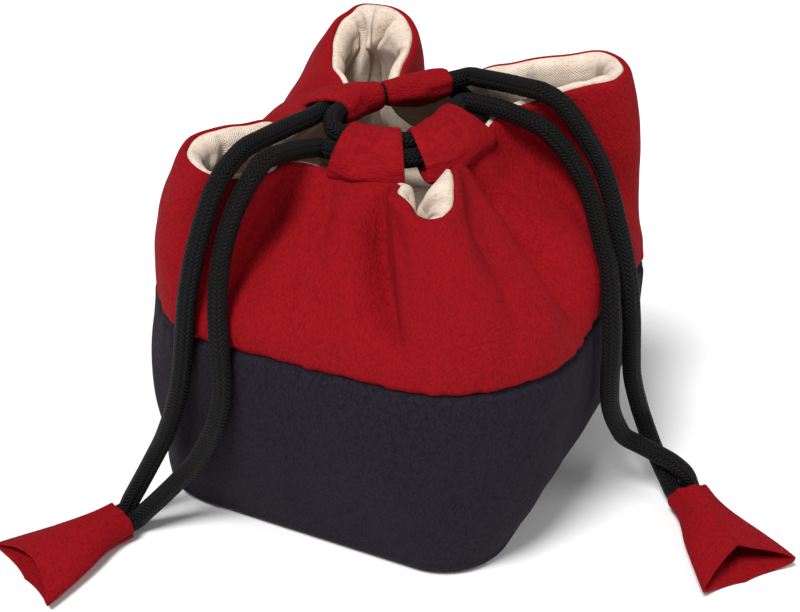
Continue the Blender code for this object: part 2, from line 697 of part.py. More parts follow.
RIGHT_FRONT_ROUTE = (
    (0.0122, 0.0205, 0.1143), (0.0160, 0.0225, 0.1154), (0.0210, 0.0222, 0.1164),
    (0.0258, 0.0200, 0.1168), (0.0302, 0.0180, 0.1157), (0.0351, 0.0172, 0.1122),
    (0.0409, 0.0185, 0.1073), (0.0463, 0.0190, 0.1013), (0.0512, 0.0180, 0.0945),
    (0.0600, 0.0090, 0.0825), (0.0675, -0.0030, 0.0720), (0.0702, -0.0075, 0.0635),
    (0.0708, -0.0085, 0.0540), (0.0704, -0.0062, 0.0440), (0.0700, -0.0015, 0.0340),
    (0.0713, 0.0030, 0.0255), (0.0745, 0.0066, 0.0185), (0.0795, 0.0100, 0.0135),
    (0.0848, 0.0125, 0.0115), (0.0898, 0.0136, 0.0092))


def clear_scene():
    """An empty scene to build in."""
    for obj in list(bpy.data.objects):
        bpy.data.objects.remove(obj)


def build_base():
    """The navy bottom with its padding and lining; returns the level of the wall's lining."""
    base_panel()
    wadding_low = CLOTH + LAYER_GAP
    lining_low = wadding_low + WADDING + LAYER_GAP
    flat = BASE_SIDE - 2 * FOOT_HEIGHT
    base_plate("base_wadding", wadding_low, WADDING, flat, WHITE)
    base_plate("lining_base", lining_low, LINING, flat, LINEN)
    return lining_low + LINING + LAYER_GAP


def build_wall(lining_low):
    """The wall's bands, its four panels of padding and its lining."""
    seam_low = LAYER_GAP / 2 / UPPER_HEIGHT
    foot = height_at(FOOT_HEIGHT + LAYER_GAP)
    wall_layer("lower_band", foot, -seam_low, 0.0, CLOTH, NAVY)
    upper_band()
    for quarter, side in enumerate(("front", "right", "back", "left")):
        turns = [quarter - 1 + share for share in QUARTER_SHARES if share > 0.5]
        turns += [quarter + share for share in QUARTER_SHARES if share < 0.5]
        wall_layer(side + "_wadding", foot, 1.0, CLOTH + LAYER_GAP, WADDING, WHITE, np.array(turns))
    lining_top = 1 - (TURN_IN + LAYER_GAP) / UPPER_HEIGHT
    wall_layer("lining_wall", height_at(lining_low), lining_top, WALL - LINING, LINING, LINEN)


def build():
    """All pieces of the pouch."""
    clear_scene()
    build_wall(build_base())
    for loop, side in zip(LOOPS, ("front", "right", "back", "left")):
        loop_tube(side + "_loop", loop)
    placed = held_cords()
    wall = wall_tree()
    for name, ends, route, tulip, side in (
            ("left_back_strand", lead_ends(LOOPS[3], False, -1), LEFT_BACK_ROUTE, LEFT_TULIP, -1),
            ("left_front_strand", lead_ends(LOOPS[0], True, -1), LEFT_FRONT_ROUTE, LEFT_TULIP, 1),
            ("right_back_strand", lead_ends(LOOPS[2], True, 1), RIGHT_BACK_ROUTE, RIGHT_TULIP, -1),
            ("right_front_strand", lead_ends(LOOPS[1], False, 1), RIGHT_FRONT_ROUTE,
             RIGHT_TULIP, 1)):
        placed.append(hanging_cord(name, ends, route, tulip, side, wall, placed))
    LEFT_TULIP.build("left")
    RIGHT_TULIP.build("right")


build()
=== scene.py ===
"""Looks of a padded drawstring pouch for a tea set: crepe bands, linen lining, loops and cords.

Every surface is worked out on a grid of turns and heights. A turn counts quarters round the
pouch from the middle of the front loop, anticlockwise. A height runs from -1 at the foot of the
lower band, through 0 at the seam, to 1 at the rim. Lengths are in metres.
"""

import logging
import math
from dataclasses import dataclass, field
from enum import Enum
from typing import Any, Callable

import bpy
import numpy as np
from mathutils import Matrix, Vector
from mathutils.bvhtree import BVHTree

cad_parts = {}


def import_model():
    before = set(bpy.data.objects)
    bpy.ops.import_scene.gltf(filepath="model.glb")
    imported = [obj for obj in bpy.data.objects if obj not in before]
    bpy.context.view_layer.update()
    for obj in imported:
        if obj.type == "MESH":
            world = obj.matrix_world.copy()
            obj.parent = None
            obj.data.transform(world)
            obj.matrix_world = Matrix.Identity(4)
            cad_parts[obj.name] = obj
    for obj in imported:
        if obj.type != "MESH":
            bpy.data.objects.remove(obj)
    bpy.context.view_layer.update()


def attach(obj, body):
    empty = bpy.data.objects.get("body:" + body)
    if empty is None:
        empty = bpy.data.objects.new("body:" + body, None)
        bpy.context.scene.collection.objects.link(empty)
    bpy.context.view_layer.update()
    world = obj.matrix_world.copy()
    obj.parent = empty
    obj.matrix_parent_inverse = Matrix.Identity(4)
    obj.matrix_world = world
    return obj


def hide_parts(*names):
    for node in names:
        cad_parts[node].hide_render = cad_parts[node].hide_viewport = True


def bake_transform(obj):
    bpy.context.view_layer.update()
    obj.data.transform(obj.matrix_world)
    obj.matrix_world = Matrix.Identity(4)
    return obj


LOG = logging.getLogger("pouch")

# The way up, and the factors that leave only a vector's level part
UP = np.array((0.0, 0.0, 1.0))
LEVEL = np.array((1.0, 1.0, 0.0))

Number = float | np.ndarray
Colour = tuple[float, float, float, float]
Place = tuple[float, float, float]
Route = tuple[Place, ...]

# Rows of the lattice behind the random relief, and the row at which the seam of the bands lies
LATTICE_ROWS = 64
LATTICE_START = 20

# Edges with a sharper angle than this, in degrees, aren't shaded as round
SHARP = 70

# Roughness of the sheen on every cloth
SHEEN_SPREAD = 0.45

# Distance between the rings of a cord
CORD_STEP = 0.0008

# A pleat's width at the seam, how much narrower it is at the rim, and the power of its bell
PLEAT_WIDE = 1.25
PLEAT_NARROWS = 0.55
PLEAT_POWER = 1.3


class Side(Enum):
    """The four sides of the pouch, counted from the front loop."""

    FRONT = "front"
    RIGHT = "right"
    BACK = "back"
    LEFT = "left"


# Curves and relief


def curve_through(knots: np.ndarray, points: np.ndarray, places: np.ndarray,
                  period: float | None = None) -> np.ndarray:
    """A smooth curve: each stretch is a cubic whose end slopes are those of its neighbours.

    Args:
        knots: rising parameter values, one for each point.
        points: the points, one row each.
        places: where the curve is read.
        period: the parameter's length on a closed curve.

    Returns:
        One point for each place.
    """
    knots = np.asarray(knots, float)
    points = np.asarray(points, float)
    places = np.asarray(places, float)
    if period:
        knots = np.concatenate((knots[-2:] - period, knots, knots[:2] + period))
        points = np.concatenate((points[-2:], points, points[:2]))
        places = np.mod(places - knots[2], period) + knots[2]
    steps = np.diff(knots)[:, None]
    slopes = np.diff(points, axis=0) / steps
    tangents = np.concatenate((slopes[:1], (slopes[:-1] * steps[1:] + slopes[1:] * steps[:-1])
                               / (steps[1:] + steps[:-1]), slopes[-1:]))
    k = np.clip(np.searchsorted(knots, places, side="right") - 1, 0, len(knots) - 2)
    step = (knots[k + 1] - knots[k])[..., None]
    t = (places[..., None] - knots[k][..., None]) / step
    return ((1 + 2 * t) * (1 - t) ** 2 * points[k] + t * (1 - t) ** 2 * step * tangents[k]
            + t * t * (3 - 2 * t) * points[k + 1] - t * t * (1 - t) * step * tangents[k + 1])


def ease(value: Number, start: Number, end: Number) -> np.ndarray:
    """0 before start, 1 after end, and a smooth step between."""
    t = np.clip((value - start) / (end - start), 0, 1)
    return t * t * (3 - 2 * t)


def unit(vectors: np.ndarray) -> np.ndarray:
    """The vectors, each divided by its length."""
    return vectors / np.maximum(np.linalg.norm(vectors, axis=-1, keepdims=True), 1e-12)


def crumple(turn: np.ndarray, run: np.ndarray, cells: int, tall: float, seed: int) -> np.ndarray:
    """Smooth random relief from -1 to 1 that closes round the pouch.

    Random values stand on the corners of a lattice, and are eased between the corners.

    Args:
        turn: quarter turns.
        run: distance up the cloth, in metres.
        cells: cells of the lattice round the whole pouch.
        tall: a cell's height, in metres.
        seed: picks the lattice.

    Returns:
        One value for each turn and run.
    """
    lattice = np.random.default_rng(seed).uniform(-1, 1, (LATTICE_ROWS, cells))
    x = np.mod(turn, 4) / 4 * cells
    y = run / tall + LATTICE_START
    column = np.floor(x).astype(int)
    row = np.floor(y).astype(int)
    fx, fy = (f * f * f * (f * (f * 6 - 15) + 10) for f in (x - column, y - row))

    def between_columns(lattice_row: np.ndarray) -> np.ndarray:
        """The values between two corners of one lattice row."""
        corners = lattice_row % LATTICE_ROWS
        return lattice[corners, column % cells] * (1 - fx) + lattice[corners, (column + 1) % cells] * fx

    return between_columns(row) * (1 - fy) + between_columns(row + 1) * fy


# Meshes


def skin(name: str, points: np.ndarray, around: np.ndarray, along: np.ndarray,
         closed_rows: bool = False, caps: bool = False) -> bpy.types.Object:
    """A mesh over rows of points whose columns close into a ring.

    Four neighbours make a face. The faces' volume tells whether they point in, and they are
    then turned round.

    Args:
        name: the piece's name.
        points: an array of rows, columns and coordinates.
        around: the weave's coordinate at each column and at the seam after the last.
        along: the weave's coordinate at each row, and at the first again if rows close.
        closed_rows: the last row joins the first.
        caps: flat faces close the first and the last row.

    Returns:
        The piece, at the origin, with its faces pointing out.
    """
    rows, columns = points.shape[:2]
    low, here = (grid.ravel() for grid in np.meshgrid(
        np.arange(rows if closed_rows else rows - 1), np.arange(columns), indexing="ij"))
    ring_rows = np.stack((low, low, low + 1, low + 1), -1)
    ring_columns = np.stack((here, here + 1, here + 1, here), -1)
    corners = (ring_rows % rows) * columns + ring_columns % columns
    uv = np.stack((np.asarray(around)[ring_columns], np.asarray(along)[ring_rows]), -1)
    flat = points.reshape(-1, 3)
    a, b, c, d = (flat[corners[:, k]] for k in range(4))
    volume = (np.cross(a, b) * c).sum() + (np.cross(a, c) * d).sum()
    faces = corners.tolist()
    if caps:
        faces += [list(range(columns))[::-1], list(range((rows - 1) * columns, rows * columns))]
    mesh = bpy.data.meshes.new(name)
    mesh.from_pydata(flat.tolist(), [], faces)
    spare = np.zeros((2 * columns if caps else 0, 2))
    layer = mesh.uv_layers.new(name="weave")
    layer.data.foreach_set("uv", np.concatenate((uv.reshape(-1, 2), spare)).ravel())
    if volume < 0:
        mesh.flip_normals()
    mesh.shade_smooth()
    mesh.set_sharp_from_angle(angle=math.radians(SHARP))
    piece = bpy.data.objects.new(name, mesh)
    bpy.context.scene.collection.objects.link(piece)
    return piece


def runs_of(points: np.ndarray) -> np.ndarray:
    """The distance from the first point to each, along the points."""
    return np.concatenate(([0.0], np.cumsum(np.linalg.norm(np.diff(points, axis=0), axis=1))))


def smooth_run(points: Route | list[np.ndarray] | np.ndarray, spacing: float) -> np.ndarray:
    """Points at an even spacing on a smooth curve through a route's points.

    Args:
        points: the route.
        spacing: the distance between two of the new points.

    Returns:
        The new points, one row each.
    """
    points = np.array(points, float)
    runs = runs_of(points)
    count = max(2, round(runs[-1] / spacing) + 1)
    return curve_through(runs, points, np.linspace(0, runs[-1], count))


def tube(name: str, path: np.ndarray, radius: float, sides: int = 28) -> bpy.types.Object:
    """A round tube along a path: rings stand square to the path and turn as little as they can.

    Args:
        name: the piece's name.
        path: the centre line.
        radius: the tube's radius.
        sides: corners of a ring.

    Returns:
        The piece. Its weave runs once round the tube, and in metres along it.
    """
    ways = unit(np.gradient(path, axis=0))
    off_the_path = UP + np.array((0.3, 0.2, 0.0))
    side = unit(np.cross(ways[0], off_the_path))
    across = []
    for way in ways:
        side = side - way * (side @ way)
        side /= np.linalg.norm(side)
        across.append(side)
    across = np.array(across)
    over = np.cross(ways, across)
    angles = np.linspace(0, 2 * math.pi, sides, endpoint=False)
    points = (path[:, None] + radius * (across[:, None] * np.cos(angles)[:, None]
                                        + over[:, None] * np.sin(angles)[:, None]))
    return skin(name, points, np.arange(sides + 1) / sides, runs_of(path), caps=True)


# Materials


class Wire:
    """A node's output, with arithmetic that adds Math nodes."""

    def __init__(self, sheet: "Sheet", socket: bpy.types.NodeSocket) -> None:
        """Wraps a socket of a material's sheet."""
        self.sheet = sheet
        self.socket = socket

    def _math(self, operation: str, first: Any, second: Any) -> "Wire":
        """A Math node on two values."""
        return self.sheet.node("ShaderNodeMath", {"operation": operation}, {0: first, 1: second})

    def __add__(self, other: Any) -> "Wire":
        """The sum."""
        return self._math("ADD", self, other)

    __radd__ = __add__

    def __sub__(self, other: Any) -> "Wire":
        """The difference."""
        return self._math("SUBTRACT", self, other)

    def __rsub__(self, other: Any) -> "Wire":
        """The difference from a number."""
        return self._math("SUBTRACT", other, self)

    def __mul__(self, other: Any) -> "Wire":
        """The product."""
        return self._math("MULTIPLY", self, other)

    __rmul__ = __mul__

    def __pow__(self, other: Any) -> "Wire":
        """The power."""
        return self._math("POWER", self, other)

    def sine(self) -> "Wire":
        """The sine."""
        return self._math("SINE", self, 0.0)

    def size(self) -> "Wire":
        """The value without its sign."""
        return self._math("ABSOLUTE", self, 0.0)


class Sheet:
    """A material's nodes."""

    def __init__(self, name: str) -> None:
        """A new material with one Principled shader.

        Args:
            name: the material's name.
        """
        self.material = bpy.data.materials.new(name)
        self.material.use_nodes = True
        self.tree = self.material.node_tree
        self.shader = self.tree.nodes["Principled BSDF"]

    def node(self, kind: str, settings: dict[str, Any] | None = None,
             values: dict[Any, Any] | None = None, output: int = 0) -> Wire:
        """Adds a node.

        Args:
            kind: the node's type.
            settings: its settings, set before its sockets.
            values: numbers, colours or wires for its input sockets.
            output: which of its outputs is given back.

        Returns:
            The node's output.
        """
        node = self.tree.nodes.new(kind)
        for key, value in (settings or {}).items():
            if key == "ramp":
                for stop, (place, colour) in zip(node.color_ramp.elements, value):
                    stop.position = place
                    stop.color = colour
            else:
                setattr(node, key, value)
        for key, value in (values or {}).items():
            self.feed(node.inputs[key], value)
        return Wire(self, node.outputs[output])

    def feed(self, socket: bpy.types.NodeSocket, value: Any) -> None:
        """Links a wire to a socket, or sets the socket to a value.

        Args:
            socket: a node's input socket.
            value: a wire, a number or a colour.
        """
        if isinstance(value, Wire):
            self.tree.links.new(value.socket, socket)
        else:
            socket.default_value = value

    def mix(self, share: Any, first: Any, second: Any) -> Wire:
        """A colour between two colours.

        Args:
            share: 0 for the first colour, 1 for the second.
            first: a colour or a wire.
            second: a colour or a wire.

        Returns:
            The mixed colour.
        """
        values = {0: share, 6: first, 7: second}
        return self.node("ShaderNodeMix", {"data_type": "RGBA"}, values, output=2)

    def weave_place(self, scale: tuple[float, float]) -> Wire:
        """The piece's weave coordinates, scaled."""
        uv = self.node("ShaderNodeUVMap", {"uv_map": "weave"})
        return self.node("ShaderNodeMapping", {}, {"Vector": uv, "Scale": (*scale, 1.0)})

    def noise(self, place: Wire, detail: float, rough: float) -> Wire:
        """Soft noise from 0 to 1."""
        return self.node("ShaderNodeTexNoise", {}, {"Vector": place, "Scale": 1.0, "Detail": detail,
                                                    "Roughness": rough})

    def relief(self, height: Any, depth: float) -> None:
        """Bumps the shader's surface by a height from 0 to 1."""
        bump = self.node("ShaderNodeBump", {}, {"Height": height, "Distance": depth,
                                                "Strength": 1.0})
        self.feed(self.shader.inputs["Normal"], bump)

    def surface(self, colour: Any, rough: Any, sheen: float, shine: float, tint: Colour) -> None:
        """Sets the shader's colour, roughness, sheen and shine.

        Args:
            colour: the base colour, or a wire.
            rough: the roughness, or a wire.
            sheen: how much soft light the cloth's hairs catch.
            shine: the strength of plain reflections.
            tint: the sheen's colour.
        """
        self.feed(self.shader.inputs["Base Color"], colour)
        self.feed(self.shader.inputs["Roughness"], rough)
        self.shader.inputs["Specular IOR Level"].default_value = shine
        self.shader.inputs["Sheen Weight"].default_value = sheen
        self.shader.inputs["Sheen Roughness"].default_value = SHEEN_SPREAD
        self.shader.inputs["Sheen Tint"].default_value = tint

    def ramp(self, value: Wire, low: float, high: float) -> Wire:
        """0 below a low value, 1 above a high one, and a straight rise between."""
        stops = [(low, (0, 0, 0, 1)), (high, (1, 1, 1, 1))]
        return self.node("ShaderNodeValToRGB", {"ramp": stops}, {0: value})

    def weave_axes(self) -> tuple[Wire, Wire]:
        """The weave's coordinates across and along the piece, each on its own."""
        across = self.node("ShaderNodeSeparateXYZ", {}, {0: self.weave_place((1.0, 1.0))})
        return across, Wire(self, across.socket.node.outputs[1])


@dataclass(frozen=True)
class CrepeFinish:
    """Crepe cloth: short puckers that run up the cloth, over a fine grain of threads.

    Pucker, cell and thread are sizes in metres. The weights are their shares of the relief,
    and raised is the range of relief between the painted shade of the hollows and full colour.
    Patches are given as how many fit in a metre.
    """

    name: str
    colour: Colour
    hollow_shade: Colour
    sheen: float
    pucker: tuple[float, float] = (0.00045, 0.0009)
    cell: tuple[float, float] = (0.0007, 0.0011)
    thread: float = 0.00028
    weights: tuple[float, float, float] = (0.52, 0.40, 0.24)
    raised: tuple[float, float] = (0.42, 0.70)
    worn: float = 1.18
    worn_share: float = 0.4
    patches: tuple[float, float] = (38.0, 30.0)
    rough: float = 0.82
    rough_pucker: float = 0.14
    shine: float = 0.10
    depth: float = 0.00062

    def material(self) -> bpy.types.Material:
        """The finish as a material: the relief is a weighted sum of puckers, cells and threads.

        Hollows of the relief are painted darker as shade, and soft patches are a little worn and
        lighter.

        Returns:
            The material.
        """
        sheet = Sheet(self.name)
        place = sheet.weave_place((1 / self.pucker[0], 1 / self.pucker[1]))
        pucker = sheet.noise(place, 1.5, 0.55)
        cells = sheet.node("ShaderNodeTexVoronoi", {"feature": "SMOOTH_F1"},
                           {"Vector": sheet.weave_place((1 / self.cell[0], 1 / self.cell[1])),
                            "Scale": 1.0, "Smoothness": 0.6, "Randomness": 1.0})
        thread = sheet.noise(sheet.weave_place((1 / self.thread, 1 / self.thread)), 1.0, 0.5)
        by_pucker, by_cell, by_thread = self.weights
        height = pucker * by_pucker + (1 - cells) * by_cell + thread * by_thread
        raised = sheet.ramp(height, *self.raised)
        patches = sheet.noise(sheet.weave_place(self.patches), 2.0, 0.5)
        # Painted shade: the relief's hollows take the darker hollow colour.
        shaded = sheet.mix(raised, self.hollow_shade, self.colour)
        worn = tuple(min(1.0, c * self.worn) for c in self.colour[:3]) + (1.0,)
        colour = sheet.mix(patches * self.worn_share, shaded, worn)
        sheet.surface(colour, self.rough + pucker * self.rough_pucker, self.sheen, self.shine, worn)
        sheet.relief(height, self.depth)
        return sheet.material


@dataclass(frozen=True)
class LinenFinish:
    """Undyed linen: a plain weave of uneven threads, with darker flecks.

    Pitch is the distance between two threads, in metres. Slubs and flecks are given as how
    many fit in a metre across and along the cloth. Weave and slub are shares of the relief,
    and drift is how far slubs bend the threads. Upright and level flecks each have the range
    of noise over which they appear, and their strength.
    """

    name: str = "linen"
    colour: Colour = (0.95, 0.80, 0.68, 1.0)
    hollow_shade: Colour = (0.62, 0.49, 0.38, 1.0)
    fleck: Colour = (0.20, 0.13, 0.08, 1.0)
    tint: Colour = (0.9, 0.85, 0.75, 1.0)
    pitch: float = 0.00082
    slubs: tuple[float, float] = (500.0, 90.0)
    flecks: tuple[float, float] = (620.0, 1700.0)
    drift: float = 2.2
    weave: float = 0.34
    slub: float = 0.62
    sunk: float = 0.12
    upright_fleck: tuple[float, float, float] = (0.60, 0.70, 0.34)
    level_fleck: tuple[float, float, float] = (0.61, 0.71, 0.28)
    rough: float = 0.9
    sheen: float = 0.1
    shine: float = 0.2
    depth: float = 0.00030

    def material(self) -> bpy.types.Material:
        """The finish as a material: the weave is the product of two sines that drift.

        Returns:
            The material.
        """
        sheet = Sheet(self.name)
        beat = 2 * math.pi / self.pitch
        across, along = sheet.weave_axes()
        drift = sheet.noise(sheet.weave_place(self.slubs), 2.0, 0.6)
        cross_drift = sheet.noise(sheet.weave_place(self.slubs[::-1]), 2.0, 0.6)
        warp = (across * beat + drift * self.drift).sine()
        weft = (along * beat + cross_drift * self.drift).sine()
        height = (warp * weft) * self.weave + (drift + cross_drift) * self.slub - self.sunk
        # Painted shade: where the weave and its slubs lie low, the colour darkens towards the hollow
        # colour.
        colour = sheet.mix(height, self.hollow_shade, self.colour)
        for scale, (low, high, share) in ((self.flecks, self.upright_fleck),
                                          (self.flecks[::-1], self.level_fleck)):
            spots = sheet.ramp(sheet.noise(sheet.weave_place(scale), 1.0, 0.5), low, high)
            colour = sheet.mix(spots * share, colour, self.fleck)
        sheet.surface(colour, self.rough, self.sheen, self.shine, self.tint)
        sheet.relief(height, self.depth)
        return sheet.material


@dataclass(frozen=True)
class BraidFinish:
    """Braided cord: columns of short slanted threads whose slant turns from column to column.

    Pitch is the distance between two threads of a column, in metres, and slant is how many
    threads a thread climbs past in its column. Fuzz is given as how many fit once round the
    cord and in a metre along it, and as a share of the relief.
    """

    name: str = "braid"
    colour: Colour = (0.0095, 0.0082, 0.0078, 1.0)
    hollow_shade: Colour = (0.0008, 0.0008, 0.0008, 1.0)
    tint: Colour = (0.35, 0.34, 0.36, 1.0)
    columns: int = 12
    pitch: float = 0.00125
    slant: float = 0.9
    roundness: float = 0.6
    groove: float = 0.6
    groove_power: float = 3.0
    fuzz_scale: tuple[float, float] = (60.0, 2600.0)
    fuzz: float = 0.15
    rough: float = 0.52
    rough_fuzz: float = 0.25
    sheen: float = 0.02
    shine: float = 0.13
    depth: float = 0.00075

    def material(self) -> bpy.types.Material:
        """The finish as a material.

        A column's share is the triangle wave of the turn, so that threads climb in one column
        and fall in the next. A thread is the sine of its place along the cord plus that share.

        Returns:
            The material.
        """
        sheet = Sheet(self.name)
        turn, along = sheet.weave_axes()
        share = sheet.node("ShaderNodeMath", {"operation": "PINGPONG"},
                           {0: turn * float(self.columns), 1: 1.0})
        full = 2 * math.pi
        thread = (along * (full / self.pitch) + share * (full * self.slant)).sine() * 0.5 + 0.5
        rib = 1 - ((share * 2 - 1).size() ** self.groove_power) * self.groove
        fuzz = sheet.noise(sheet.weave_place(self.fuzz_scale), 2.0, 0.6)
        height = (thread ** self.roundness) * rib * (1 - self.fuzz) + fuzz * self.fuzz
        # Painted shade: the grooves between threads and columns take the darker hollow colour.
        sheet.surface(sheet.mix(height, self.hollow_shade, self.colour),
                      self.rough + fuzz * self.rough_fuzz, self.sheen, self.shine, self.tint)
        sheet.relief(height, self.depth)
        return sheet.material


# The second colour of each crepe is painted shade for the hollows of its relief.
RED_CREPE = CrepeFinish(name="red_crepe", colour=(0.262, 0.0034, 0.0072, 1.0),
                        hollow_shade=(0.165, 0.0018, 0.0038, 1.0), sheen=0.02)
NAVY_CREPE = CrepeFinish(name="navy_crepe", colour=(0.0185, 0.0140, 0.0215, 1.0),
                         hollow_shade=(0.0055, 0.0042, 0.0075, 1.0), sheen=0.01)


@dataclass
class Wardrobe:
    """The finishes of the pouch, made once."""

    red: bpy.types.Material = field(default_factory=RED_CREPE.material)
    navy: bpy.types.Material = field(default_factory=NAVY_CREPE.material)
    linen: bpy.types.Material = field(default_factory=LinenFinish().material)
    braid: bpy.types.Material = field(default_factory=BraidFinish().material)


def dress(piece: bpy.types.Object, material: bpy.types.Material, slot: str, body: str | None,
          *nodes: str) -> None:
    """Gives a piece its material and its body, and hides the nodes that it stands for.

    Args:
        piece: the piece.
        material: its material.
        slot: not used.
        body: the body it moves with, or None, which leaves it unattached.
        nodes: the plain parts that it takes the place of.
    """
    piece.data.materials.clear()
    piece.data.materials.append(material)
    if body:
        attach(piece, body)
    if nodes:
        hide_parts(*nodes)
    LOG.info("%s rides on %s", piece.name, body or "two bodies")


# The wall's geometry


@dataclass(frozen=True)
class Gauge:
    """Thicknesses that every piece shares.

    Gap lies between two layers of the wall, cord_gap between the two cords in a loop, and
    seat_gap between a loop and the rim under it.
    """

    cloth: float = 0.001
    wadding: float = 0.003
    lining: float = 0.001
    gap: float = 0.0003
    cord: float = 0.0056
    cord_gap: float = 0.0003
    loop_cloth: float = 0.0010
    seat_gap: float = 0.0018

    @property
    def wall(self) -> float:
        """The whole wall's thickness."""
        return self.cloth + self.wadding + self.lining + 2 * self.gap

    @property
    def loop_height(self) -> float:
        """Half a loop's height, across both cords."""
        return self.cord + 1.5 * self.cord_gap + self.loop_cloth

    @property
    def loop_thick(self) -> float:
        """Half a loop's thickness."""
        return self.cord / 2 + self.cord_gap + self.loop_cloth


GAUGE = Gauge()


class Branch:
    """The path of both cords side by side through two loops, as a smooth curve."""

    def __init__(self, route: Route, tilts: tuple[float, ...]) -> None:
        """Keeps a route.

        Args:
            route: the path's points.
            tilts: how far the two cords lean at each point, in degrees.
        """
        self.route = np.array(route)
        self.tilts = np.radians(np.array(tilts, float))[:, None]
        self.knots = np.arange(len(route), dtype=float)

    def frame(self, place: Number) -> tuple[np.ndarray, np.ndarray, np.ndarray, np.ndarray]:
        """The path's point and directions: the slope is level and square to it, then tilted.

        Args:
            place: places on the route, counted in its points.

        Returns:
            The points, and the directions along the path, up the slope and out of the cloth.
        """
        place = np.asarray(place, float)
        near = 0.01
        point = curve_through(self.knots, self.route, place)
        along = unit(curve_through(self.knots, self.route, place + near)
                     - curve_through(self.knots, self.route, place - near))
        tilt = curve_through(self.knots, self.tilts, place)
        inward = unit(np.cross(UP, along))
        lean = inward * np.cos(tilt) + np.cross(along, inward) * np.sin(tilt)
        return point, along, lean, np.cross(along, lean)

    def cord_point(self, place: Number, side: int) -> np.ndarray:
        """A point on one of the two cords: side -1 is the outer one, 1 the inner one."""
        point, _, lean, _ = self.frame(place)
        return point + lean * (side * (GAUGE.cord + GAUGE.cord_gap) / 2)


@dataclass(frozen=True)
class LoopSeat:
    """A loop's stretch of a branch, where the rim is sewn to it, and how far the cloth reaches.

    All are places on the branch. The stretch from start to end is where the cords are held,
    and the cloth may reach past it.
    """

    branch: Branch
    start: float
    end: float
    sewn: tuple[float, float, float]
    cloth: tuple[float, float]

    def rim_point(self, place: float) -> tuple[np.ndarray, np.ndarray]:
        """The rim's outer face under the loop, and the slope of the cloth there.

        Args:
            place: a place on the loop's branch.

        Returns:
            The point, and the direction in which the cloth arrives.
        """
        point, _, lean, face = self.branch.frame(place)
        below = GAUGE.loop_height + GAUGE.seat_gap + GAUGE.wall / 2
        return point - lean * below + face * (GAUGE.wall / 2), lean


class Lobe:
    """A petal of the rim between two loops, pushed out by the gathered cloth."""

    def __init__(self, direction: float, reach: float, width: float, lean: float,
                 flares: tuple[float, float], shares: Route) -> None:
        """Keeps a petal's outline.

        Args:
            direction: where it points, in degrees from +X.
            reach: its tip's distance from the pouch's axis.
            width: its width.
            lean: how far the cloth leans in at the tip, in degrees.
            flares: how far it leans at the two flanks, in degrees.
            shares: its outline's points, as shares of reach, half width and rise.
        """
        turned = math.radians(direction)
        self.out = np.array((math.cos(turned), math.sin(turned), 0.0))
        self.across = np.array((-math.sin(turned), math.cos(turned), 0.0))
        self.reach = reach
        self.width = width
        self.lean = math.tan(math.radians(lean))
        self.flares = [math.tan(math.radians(flare)) for flare in flares]
        self.shares = shares

    def rim(self, height: float, rise: float) -> list[tuple[np.ndarray, np.ndarray]]:
        """The rim's points along the petal, each with the slope at which the cloth arrives.

        Args:
            height: the rim's level at the loops.
            rise: how far the highest petal stands above it.

        Returns:
            Pairs of a point and a slope.
        """
        found = []
        for out, across, up in self.shares:
            point = (self.out * (self.reach * out) + self.across * (self.width / 2 * across)
                     + UP * (height + rise * up))
            slope = (UP - self.out * self.lean
                     - self.across * (self.flares[across > 0] * max(-1, min(1, across))))
            found.append((point, slope / np.linalg.norm(slope)))
        return found


# The cords' paths: through the front and the right loop, and through the back and the left one
FRONT_BRANCH = Branch((
    (-0.0140, -0.0128, 0.1083), (-0.0090, -0.0132, 0.1084), (-0.0038, -0.0132, 0.1085),
    (0.0025, -0.0123, 0.1088), (0.0080, -0.0095, 0.1091), (0.0113, -0.0043, 0.1094),
    (0.0125, 0.0025, 0.1098), (0.0129, 0.0095, 0.1103), (0.0130, 0.0160, 0.1111)),
    (32, 32, 32, 31, 29, 27, 25, 25, 25))
BACK_BRANCH = Branch((
    (0.0046, 0.0303, 0.1154), (0.0010, 0.0265, 0.1149), (-0.0028, 0.0224, 0.1143),
    (-0.0070, 0.0188, 0.1139), (-0.0120, 0.0155, 0.1133), (-0.0170, 0.0110, 0.1128),
    (-0.0202, 0.0058, 0.1126), (-0.0216, 0.0008, 0.1125), (-0.0222, -0.0040, 0.1125)),
    (30, 30, 30, 27, 22, 16, 12, 10, 10))

# The four loops in their order round the rim
SEATS = {
    Side.FRONT: LoopSeat(FRONT_BRANCH, 0.5, 3.4, (0.5, 1.5, 2.4), (0.5, 3.6)),
    Side.RIGHT: LoopSeat(FRONT_BRANCH, 4.7, 7.6, (5.1, 6.4, 7.6), (4.1, 7.6)),
    Side.BACK: LoopSeat(BACK_BRANCH, 0.8, 3.6, (0.9, 1.7, 2.5), (0.8, 4.15)),
    Side.LEFT: LoopSeat(BACK_BRANCH, 4.6, 7.5, (5.6, 6.6, 7.5), (4.3, 7.5)),
}

